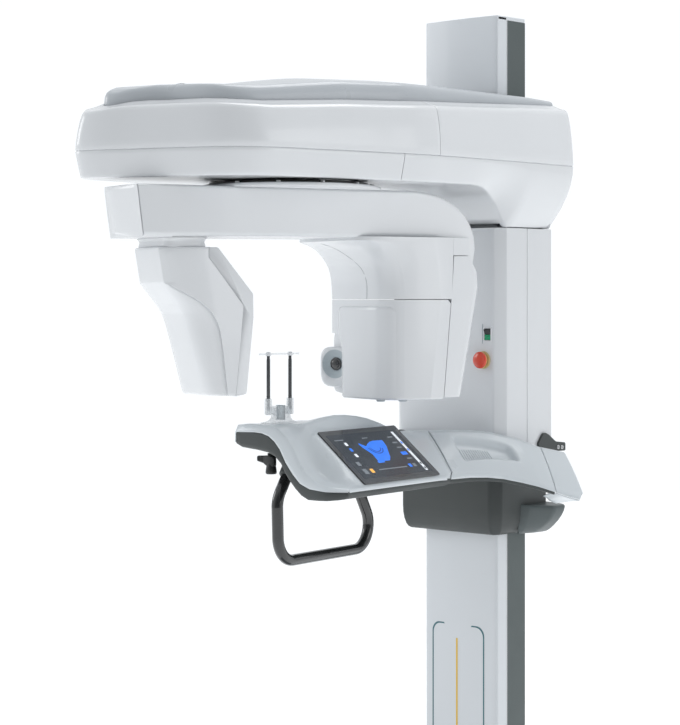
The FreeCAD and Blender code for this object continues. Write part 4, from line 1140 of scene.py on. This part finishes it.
KEEL = [(257, 1297.5), (257.3, 1290), (254.5, 1284.5), (247, 1281), (236, 1279), (215, 1277), (190, 1276),
        (160, 1276), (143, 1283), (126, 1296), (108, 1313), (96, 1327), (82, 1348), (62, 1364), (40, 1372),
        (8, 1376), (-40, 1380), (-55, 1386), (-56, 1394), (-56, 1409)]


def keel_row(v_of, z_of):
    return [(*turned(u, v_of(u), CONSOLE_TURN, CONSOLE_Y), z_of(u, z)) for u, z in KEEL]


def keel_section(w):
    """The dark strip below the lip, then an underside that rises towards the column."""
    back, ridge, lip, edge = section_at(w)
    inward = Vector((back.x - edge.x, back.y - edge.y, 0)).normalized()
    depth = mix(14, 9, min(w / 4, 1))
    edge = edge + inward * 0.8
    row = [edge + inward * reach + drop(sink)
           for reach, sink in ((0, 1), (0, depth * 0.6), (2, depth * 0.9), (8, depth))]
    start = edge + inward * 14 + drop(depth)
    goal = Vector((max(back.x, -120), back.y, mix(1376, 1322, smooth_step(w, 2.5, 5))))
    row += [start.lerp(goal, share) for share in steps(0, 1, 12)]
    row += [goal + drop(-rise) for rise in (3, 8, 12)]
    return [tuple(point) for point in row]


def console_underside():
    """The dark shell below the silver one, with a deep rounded front end."""
    rows = [keel_row(lambda u: front_line(u) + 1.4, lambda u, z: table(u, FRONT_BAND) - 0.6),
            keel_row(lambda u: front_line(u) + 0.8, lambda u, z: mix(table(u, FRONT_BAND), z, 0.12)),
            keel_row(lambda u: front_line(u) + 0.8, lambda u, z: mix(table(u, FRONT_BAND), z, 0.75)),
            keel_row(lambda u: front_line(u) + 2.5, lambda u, z: mix(table(u, FRONT_BAND), z, 0.92)),
            keel_row(lambda u: front_line(u) + 7, lambda u, z: z)]
    for v in (0, 60, 130, 200, 270, 320, 340):
        rows.append(keel_row(lambda u, v=v: v, lambda u, z: z))
    rows += [keel_section(w) for w in steps(0.05, 5.95, 40)]
    shell = grid("console_keel_shell", rows)
    skin(shell, 2.5)
    finish_piece(shell, "carriage", "dark_plastic", DARK, "console_under_shell")


def wing_underside():
    """Silver underside of the wing's tip, which closes the end piece from below."""
    rows = []
    for w in steps(5.9, 7.98, 20):
        back, ridge, lip, edge = section_at(w)
        inward = Vector((back.x - edge.x, back.y - edge.y, 0)).normalized()
        reach = mix(70, 96, smooth_step(w, 5.9, 7.2))
        rows.append([tuple(edge + inward * (1.5 + reach * share) + drop(3 + 9 * share + 6 * share ** 2))
                     for share in steps(0, 1, 8)])
    under = grid("wing_underside_skin", rows)
    skin(under, 2)
    finish_piece(under, "carriage", "console_silver", CONSOLE_SILVER)


# Display

DISPLAY_SLOPE = math.atan2(108, 125)


def on_display(down, along, out):
    """A point of the display: down from its top edge, along the console, out of its face."""
    u = 122.2 + down * math.cos(DISPLAY_SLOPE) + out * math.sin(DISPLAY_SLOPE)
    z = 1416 - down * math.sin(DISPLAY_SLOPE) + out * math.cos(DISPLAY_SLOPE)
    return console_frame(u, along, z)


def display():
    """A glass slab with raised panes for the lit areas: down and along its face, height above it."""
    slab = prism("display_glass", box_outline((0, 8.5), (165.2, 322.5), 5), -7, 0, on_display)
    finish_piece(soften(slab, 0.9), "carriage", "tablet_black", GLASS_BLACK, "tablet")
    panes = [(14, 24, 151, 307, 0.12, UI_SLATE), (20, 281, 147, 291, 0.24, UI_WHITE),
             (40, 66, 50, 76, 0.24, UI_WHITE), (58, 66, 68, 76, 0.24, UI_BLUE),
             (76, 66, 86, 76, 0.24, UI_WHITE), (30, 40, 33, 74, 0.24, UI_PALE),
             (30, 150, 33, 172, 0.24, UI_PALE), (100, 44, 112, 58, 0.24, UI_PALE),
             (122, 44, 138, 60, 0.24, UI_PALE), (124, 72, 136, 84, 0.24, UI_AMBER),
             (128, 106, 131, 222, 0.24, UI_PALE), (84, 246, 94, 270, 0.24, UI_BLUE),
             (34, 250, 38, 270, 0.24, UI_PALE), (52, 250, 56, 270, 0.24, UI_PALE),
             (68, 250, 72, 270, 0.24, UI_PALE), (104, 250, 108, 270, 0.24, UI_PALE),
             (122, 232, 132, 244, 0.24, UI_BLUE), (122, 250, 132, 262, 0.24, UI_PALE),
             (104, 128, 110, 154, 0.24, UI_BLUE), (52, 283, 60, 289, 0.36, UI_BLUE),
             (76, 283, 84, 289, 0.36, UI_BLUE), (120, 283, 127, 289, 0.36, UI_SLATE),
             (136, 283, 143, 289, 0.36, UI_SLATE)]
    for index, (top, left, bottom, right, level, material) in enumerate(panes):
        radius = 1.5 if right - left < 40 else 2.5
        outline = box_outline((top, left), (bottom, right), radius, 3)
        pane = prism(f"display_pane_{index}", outline, -0.3, level, on_display)
        finish_piece(pane, "carriage", "tablet_black", material)
    outline = rounded([(42, 114), (51, 128), (57, 138), (50, 150), (44, 166), (42, 184), (43, 220),
                       (62, 215), (96, 191), (106, 178), (105, 132), (82, 134), (60, 120)], 3, 3)
    jaw = prism("display_jaw", outline, -0.2, 0.32, on_display)
    finish_piece(jaw, "carriage", "tablet_black", UI_BLUE)
    for index, reach in enumerate((20, 27)):
        path = [(60 + reach * 0.8 * math.sin(a), 166 - reach * math.cos(a), 0.4)
                for a in steps(0.1, math.pi - 0.3, 14)]
        line = strip(f"display_arc_{index}", path, (0, 0, 1), on_display, 0.3, 1.6)
        finish_piece(line, "carriage", "tablet_black", UI_DEEP_BLUE)


# Patient supports

CHIN_Y = -665
ROD_Y = (-704, -636)


def bent_path(corners, radius, count=10):
    """A path through points with a round bend at each inner one."""
    points = [Vector(corner) for corner in corners]
    path = [points[0]]
    for before, corner, after in zip(points, points[1:], points[2:]):
        back = (before - corner).normalized()
        ahead = (after - corner).normalized()
        half = back.angle(ahead) / 2
        reach = min(radius / math.tan(half), (before - corner).length * 0.48, (after - corner).length * 0.48)
        fitted = reach * math.tan(half)
        centre = corner + (back + ahead).normalized() * (fitted / math.sin(half))
        first = corner + back * reach - centre
        last = corner + ahead * reach - centre
        path += [centre + first.slerp(last, share).normalized() * fitted
                 for share in steps(0, 1, count)]
    return path + [points[-1]]


def tube(name, path, radius, count=32):
    """A round bar along a path, with its section carried on without twist."""
    path = [Vector(point) for point in path]
    side = None
    rows = []
    for index, point in enumerate(path):
        along = (path[min(index + 1, len(path) - 1)] - path[max(index - 1, 0)]).normalized()
        side = along.orthogonal() if side is None else side - along * side.dot(along)
        side = side.normalized()
        rows.append(circle(point, side, along.cross(side), radius, count))
    return grid(name, rows, around=True, caps=True)


def patient_handle():
    route = [(57, -684, 1350), (66, -742.5, 1269), (65, -737, 1132), (5, -348, 1132), (26, -481, 1352)]
    handle = tube("handle_tube", bent_path(route, 55, 14), 13)
    finish_piece(smooth(handle), "carriage", "handle_black", BLACK_GLOSS, "patient_handle")
    profile = [(0, -2), (16.5, -2), (18, 0), (18, 40), (0, 40)]
    for name, middle, ahead in (("front", (60.5, -707, 1319), (-6, 39.5, 55)),
                                ("rear", (21.5, -453, 1306), (8, -50, 83))):
        collar = turned_piece(f"handle_collar_{name}", profile, middle, ahead)
        finish_piece(soften(collar, 0.6), "carriage", "dark_plastic", DARK)


def chin_rest():
    """A clear chin block with its two sleeves on a flared foot."""
    rows = []
    for z, half_x, half_y in ((1430.5, 27, 40), (1432, 27, 40), (1434, 21, 31), (1437, 16, 25),
                              (1442, 13.5, 21.5), (1455, 12.5, 19.5), (1467, 12, 18.5), (1469, 11, 17.5)):
        outline = box_outline((-half_x, CHIN_Y - half_y), (half_x, CHIN_Y + half_y), 5, 5)
        rows.append([(x, y, z) for x, y in outline])
    block = grid("chin_block", rows, around=True, caps=True)
    finish_piece(soften(block, 0.8), "carriage", "white_shell", CLEAR, "chin_rest")
    for index, offset in enumerate((-2.5, 2.5)):
        slot = prism(f"chin_slot_{index}", box_outline((offset - 0.7, -11), (offset + 0.7, 11), 0.4, 3),
                     1438, 1470.5, place=lambda a, b, z: row_frame(b, CHIN_Y + a, z))
        finish_piece(slot, "carriage", "white_shell", DISH_GREY)
    profile = [(4.3, 3), (4.3, -4), (6, -6), (7.6, -5), (8, -3), (8, 29), (7.6, 30), (4.6, 30), (4.3, 29),
               (4.3, 3)]
    for index, (side, y) in enumerate(zip((-1, 1), ROD_Y)):
        sleeve = turned_piece(f"chin_sleeve_{index}", profile, (0, y, 1456), UP, 36)
        finish_piece(smooth(sleeve), "carriage", "white_shell", CLEAR)
        inner = CHIN_Y + side * 17
        outline = rounded([(inner, 1446), (inner, 1462), (y - side * 7, 1470), (y - side * 7, 1456)], 2, 4)
        web = prism(f"chin_web_{index}", outline, -4, 4, axis="x")
        finish_piece(soften(web, 0.6), "carriage", "white_shell", CLEAR)


def head_rest():
    """Two dark rods that lift out of the sleeves, and the thin clear bar across them."""
    rod_profile = [(0, 0), (3.4, 0), (4, 0.8), (4, 112), (3.4, 114), (3.4, 121), (0, 121)]
    cap_profile = [(0, 0), (5, 0), (5.5, 0.6), (5.5, 6.4), (4.6, 8), (2.5, 8.8), (0, 9)]
    ring_profile = [(3.8, -0.5), (4.3, -0.4), (4.3, 0.4), (3.8, 0.5)]
    for index, y in enumerate(ROD_Y):
        rod = turned_piece(f"rest_rod_{index}", rod_profile, (0, y, 1460), UP, 36)
        finish_piece(smooth(rod), "head_rest", "rod_dark", ROD_DARK, *(("head_rest",) if index == 0 else ()))
        cap = turned_piece(f"rest_cap_{index}", cap_profile, (0, y, 1580.5), UP, 36)
        finish_piece(smooth(cap), "head_rest", "white_shell", WHITE)
        for ring, height in enumerate((1483, 1487, 1491)):
            band = turned_piece(f"rest_ring_{index}_{ring}", ring_profile, (0, y, height), UP, 36)
            finish_piece(smooth(band), "head_rest", "rod_dark", SATIN_BLACK)
    bar = prism("rest_bar", box_outline((-3, -732), (3, -608), 2.6, 5), 1583, 1586.5)
    finish_piece(soften(bar, 0.5), "head_rest", "white_shell", CLEAR)


def lock_lever():
    """A ribbed knob on a short hub, with a wing to turn it by."""
    axis_x, axis_y = 20, -715

    def placed(x, y, z):
        return row_frame(axis_x + x, axis_y + y, z)

    profile = [(0, 0), (10, 0), (12, 1.5), (12.5, 5), (11, 16), (8.5, 24), (8, 30), (8, 46), (0, 46)]
    hub = turned_piece("lever_hub", profile, (axis_x, axis_y, 1321), UP, 40)
    finish_piece(smooth(hub), "lock_lever", "handle_black", SATIN_BLACK, "lock_lever")
    rows = []
    for x, half, low, high in ((-40, 4.5, 1349, 1358), (-38.5, 6, 1347.5, 1360), (-20, 6.5, 1344, 1361),
                               (-8, 8, 1338, 1362), (4, 8.5, 1334, 1362), (10, 6, 1338, 1360),
                               (12, 4, 1341, 1357)):
        outline = box_outline((-half, low), (half, high), 3.5, 5)
        rows.append([(x, y, z) for y, z in outline])
    wing = grid("lever_wing", rows, placed, around=True, caps=True)
    finish_piece(soften(wing, 0.8), "lock_lever", "handle_black", SATIN_BLACK)
    for index in range(5):
        start = -36 + index * 4.6
        rib = prism(f"lever_rib_{index}", box_outline((start, -7.2), (start + 2, 7.2), 0.8, 3),
                    1349 - index * 0.6, 1359.5 + index * 0.2, placed)
        finish_piece(soften(rib, 0.4), "lock_lever", "handle_black", SATIN_BLACK)


# Controls on the carriage

def emergency_stop():
    """Red mushroom button on a pale ring, with a short skirt behind it."""
    middle = (119, -102, 1562)
    out = (0, -1, 0)
    profile = [(9, 0), (21, 0), (21, 2.0), (20, 3.0), (17, 3.4), (12, 3.4), (9, 3.0)]
    ring = turned_piece("stop_ring", profile, middle, out, 64)
    finish_piece(smooth(ring), "carriage", "estop_grey", STOP_RING, "estop_collar")
    profile = [(0, 6.8), (8, 6.8), (8, 8), (15, 8.2), (18.4, 9.2), (19.7, 11), (20, 13), (19.8, 15.2),
               (19, 16.8), (17, 18.4), (13, 19.8), (7, 20.7), (0, 21)]
    button = turned_piece("stop_mushroom", profile, middle, out, 64)
    finish_piece(smooth(button), "estop_button", "estop_red", RED, "estop_button")
    profile = [(17.8, 9.0), (20.05, 10.6), (20.15, 11.4), (20.05, 12.2), (18.2, 12.4)]
    groove = turned_piece("stop_groove", profile, middle, out, 64)
    finish_piece(smooth(groove), "estop_button", "estop_red", AMBER)
    for index in range(3):
        angle = index * 2 * math.pi / 3 + 0.4
        along = Vector((-math.sin(angle), 0, math.cos(angle)))
        side = Vector((math.cos(angle), 0, math.sin(angle)))
        centre = Vector(middle) + Vector(out) * 19.4 + side * 11
        rows = [[tuple(centre + along * s * 5 + side * w + Vector((0, -h, 0)))
                 for w, h in ((-1.1, -0.8), (1.1, -0.8), (1.1, 0.35), (-1.1, 0.35))] for s in (-1, 0, 1)]
        mark = grid(f"stop_mark_{index}", rows, around=True, caps=True)
        finish_piece(soften(mark, 0.3), "estop_button", "estop_red", AMBER)


def power_switch():
    """Rocker switch: a frame with a deep edge and a two-coloured key."""
    middle = Vector((133, 0, 1623))
    outer = box_outline((-11.5, -17), (11.5, 17), 2.2, 5)
    inner = box_outline((-9.6, -14.2), (9.6, 14.2), 1.2, 5)
    levels = ((outer, -101.8), (outer, -104.4), (inner, -104.8), (inner, -101))
    rows = [[(middle.x + x, y, middle.z + z) for x, z in outline] for outline, y in levels]
    frame_piece = grid("switch_frame", rows, around=True)
    finish_piece(soften(frame_piece, 0.5), "carriage", "white_shell", WHITE, "rocker_frame")
    tilt = math.radians(8)

    def key_place(x, y, z):
        return row_frame(middle.x + x, -102 + y * math.cos(tilt) - z * math.sin(tilt),
                         middle.z + y * math.sin(tilt) + z * math.cos(tilt))

    for name, hinge, edge, material, nodes in (("upper", 0.2, 12.6, SATIN_BLACK, ["rocker"]),
                                               ("lower", -0.2, -12.6, GREEN, [])):
        section = [(3, hinge), (-2.4, hinge), (-3.4, mix(hinge, edge, 0.5)), (-5.0, edge), (3, edge)]
        rows = [[(x, y, z) for y, z in section] for x in (-8.9, 8.9)]
        key = grid(f"switch_key_{name}", rows, key_place, around=True, caps=True)
        finish_piece(soften(key, 0.5), "rocker", "rocker_green", material, *nodes)
    outline = [(115.6, -103), (117.2, -103), (117.2, -101.6), (115.6, -101.6)]
    mark = prism("switch_side_line", outline, 1601, 1648)
    finish_piece(mark, "carriage", "white_shell", DISH_GREY)


def rear_bracket():
    """Dark hook on the right side of the moving column, with two bright screws at its end."""
    outline = rounded([(36, 1337, 2), (36, 1360, 10), (58, 1386, 12), (76, 1379, 16), (104, 1361, 20),
                       (142, 1357, 5), (142, 1337, 4)], 8, 8)
    hook = prism("bracket_hook", outline, 171.4, 178, axis="x")
    finish_piece(soften(hook, 1.4), "carriage", "dark_plastic", DARK, "bracket_arm")
    profile = [(1.6, 0.2), (1.6, 1.6), (3.6, 2.0), (4.8, 1.6), (5.2, 0.8), (5.2, 0)]
    for index, (y, z) in enumerate(((112, 1347), (127, 1346))):
        screw = turned_piece(f"bracket_screw_{index}", profile, (177.8, y, z), (1, 0, 0), 32)
        finish_piece(smooth(screw), "carriage", "steel", STEEL)


# Base and rear of the column

def base():
    """Floor plate with anchor heads and the foot of the column."""
    plate = prism("base_sheet", box_outline((-400, -930), (400, 170), 60, 10), 0, 12)
    finish_piece(soften(plate, 2.5, 4), "column", "base_paint", BASE, "base_plate")
    foot = prism("base_foot", box_outline((-155, -90), (155, 160), 10), 12.2, 27)
    finish_piece(soften(foot, 2, 3), "column", "base_paint", BASE)
    washer_profile = [(6.5, 0), (15, 0), (15.5, 0.6), (15.5, 2), (15, 2.5), (6.5, 2.5)]
    head_profile = [(0, 2.5), (10, 2.5), (10.6, 3.2), (10.6, 9), (9.6, 10.2), (0, 10.4)]
    for index, (x, y) in enumerate(((-350, -880), (350, -880), (-350, 100), (350, 100))):
        washer = turned_piece(f"anchor_washer_{index}", washer_profile, (x, y, 12), UP, 40)
        finish_piece(smooth(washer), "column", "steel", STEEL)
        head = turned_piece(f"anchor_head_{index}", head_profile, (x, y, 12), UP, 6)
        finish_piece(soften(head, 0.6), "column", "steel", STEEL)


def rear_cabinet():
    """White housing of the supply behind the foot of the column, with air slots and a rear panel."""
    outline = rounded([(-126, -3, 2), (-126, 150, 14), (126, 150, 14), (126, -3, 2), (91, -3, 1),
                       (91, 84, 1), (-91, 84, 1), (-91, -3, 1)], 4, 6)
    body = prism("cabinet_shell", outline, 27.4, 640)
    finish_piece(soften(body, 2.5, 4), "column", "white_shell", WHITE, "rear_cabinet")
    for name, side in (("left", -1), ("right", 1)):
        for index in range(7):
            z = 480 + index * 16
            slot = box_outline((40, z), (112, z + 5), 2.4, 5)
            slot = prism(f"cabinet_slot_{name}_{index}", slot, side * 125.2, side * 126.5, axis="x")
            finish_piece(slot, "column", "dark_plastic", SEAM_SHADE)
    path = [(-108, 150.1, 60), (-108, 150.1, 610), (108, 150.1, 610), (108, 150.1, 60), (-108, 150.1, 60)]
    for index, (start, end) in enumerate(zip(path, path[1:])):
        seam = strip(f"cabinet_seam_{index}", [start, end], (0, 1, 0), row_frame, 0.8, 1.4)
        finish_piece(seam, "column", "dark_plastic", SEAM_SHADE)


# Stage, lights and camera

def sky():
    """White surroundings that are darker on one side only, so that the gloss picks up soft edges."""
    world = bpy.data.worlds.new("studio")
    world.use_nodes = True
    tree = world.node_tree
    place = tree.nodes.new("ShaderNodeTexCoord")
    facing = tree.nodes.new("ShaderNodeVectorMath")
    facing.operation = "DOT_PRODUCT"
    facing.inputs[1].default_value = (0.69, -0.72, -0.05)
    level = tree.nodes.new("ShaderNodeMapRange")
    level.interpolation_type = "SMOOTHSTEP"
    level.inputs["From Min"].default_value = 0.30
    level.inputs["From Max"].default_value = 0.98
    level.inputs["To Min"].default_value = 0.86
    level.inputs["To Max"].default_value = 0.16
    tree.links.new(place.outputs["Generated"], facing.inputs[0])
    tree.links.new(facing.outputs["Value"], level.inputs["Value"])
    seen = tree.nodes.new("ShaderNodeLightPath")
    strength = tree.nodes.new("ShaderNodeMix")
    strength.inputs["B"].default_value = 1.06
    tree.links.new(seen.outputs["Is Camera Ray"], strength.inputs["Factor"])
    tree.links.new(level.outputs["Result"], strength.inputs["A"])
    tree.links.new(strength.outputs["Result"], tree.nodes["Background"].inputs["Strength"])
    tree.nodes["Background"].inputs["Color"].default_value = (0.95, 0.975, 1.0, 1)
    return world


def floor():
    """A wide pale floor."""
    reach = 14000
    outline = [(reach * math.cos(a), reach * math.sin(a)) for a in full_turn(64)]
    paper = prism("floor", outline, -40, -0.5)
    material = plastic("floor_paper", (0.90, 0.91, 0.915), 0.7, grain=0.05, grain_scale=60)
    paper.data.materials.append(light_up(material, (1, 1, 1), 0.40))


def studio():
    scene = bpy.context.scene
    scene.world = sky()
    scene.view_settings.view_transform = "Standard"
    floor()
    lamps = (("left_light", (-3600, -2600, 3000), 1700, 26), ("right_light", (4600, 600, 2600), 2200, 20),
             ("top_light", (0, 400, 5200), 2400, 52))
    for name, place, width, power in lamps:
        light = bpy.data.lights.new(name, "AREA")
        light.size = width * MM
        light.energy = power
        lamp = bpy.data.objects.new(name, light)
        lamp.location = Vector(place) * MM
        aim = Vector((0, -400, 1600)) * MM - lamp.location
        lamp.rotation_euler = aim.to_track_quat("-Z", "Y").to_euler()
        scene.collection.objects.link(lamp)


def camera():
    """Level view of the operator's side from about five metres."""
    lens = bpy.data.cameras.new("camera")
    lens.sensor_width = 36
    lens.lens = 105.2
    lens.shift_y = -0.0834
    view = bpy.data.objects.new("camera", lens)
    view.location = (3.337, -4.002, 1.700)
    view.rotation_euler = (math.radians(90), 0, math.radians(43.4))
    bpy.context.scene.collection.objects.link(view)
    bpy.context.scene.camera = view


STEEL_NODES = ("guide_rails", "guide_blocks", "lift_screw", "lift_nut", "screw_bearings", "slew_bearing",
               "slew_ring", "drive_pinion")
ALLOY_NODES = ("carriage_frame", "head_frame", "y_stage", "x_stage", "arm_beam")
NODE_MATERIALS = {node: STEEL for node in STEEL_NODES}
NODE_MATERIALS |= {node: ALLOY for node in ALLOY_NODES}
NODE_MATERIALS |= {"base_plate": BASE, "wall_brackets": BASE, "column_profile": PROFILE,
                   "lift_motor": SATIN_BLACK, "drive_motor": SATIN_BLACK, "power_supply": SATIN_BLACK,
                   "mains_inlet": SATIN_BLACK, "sensor_panel": SATIN_BLACK, "xray_tank": BASE,
                   "collimator_blade_left": STEEL, "collimator_blade_right": STEEL}


def repaint_nodes():
    """CAD parts that stay as they are get the finished materials; the others start white."""
    for name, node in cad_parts.items():
        material = NODE_MATERIALS.get(name, WHITE)
        node.data.materials.clear()
        node.data.materials.append(material)


camera()
studio()
repaint_nodes()
head_upper()
head_lower()
head_cover()
head_back()
arm_shell()
arm_end_cap()
slewing_disc()
detector()
tubehead()
window_panel()
camera_pod()
tubehead_feet()
column_front()
column_label()
moving_column()
lower_housing()
console_top()
recess_ribs()
console_underside()
wing_underside()
display()
patient_handle()
chin_rest()
head_rest()
lock_lever()
emergency_stop()
power_switch()
rear_bracket()
base()
rear_cabinet()
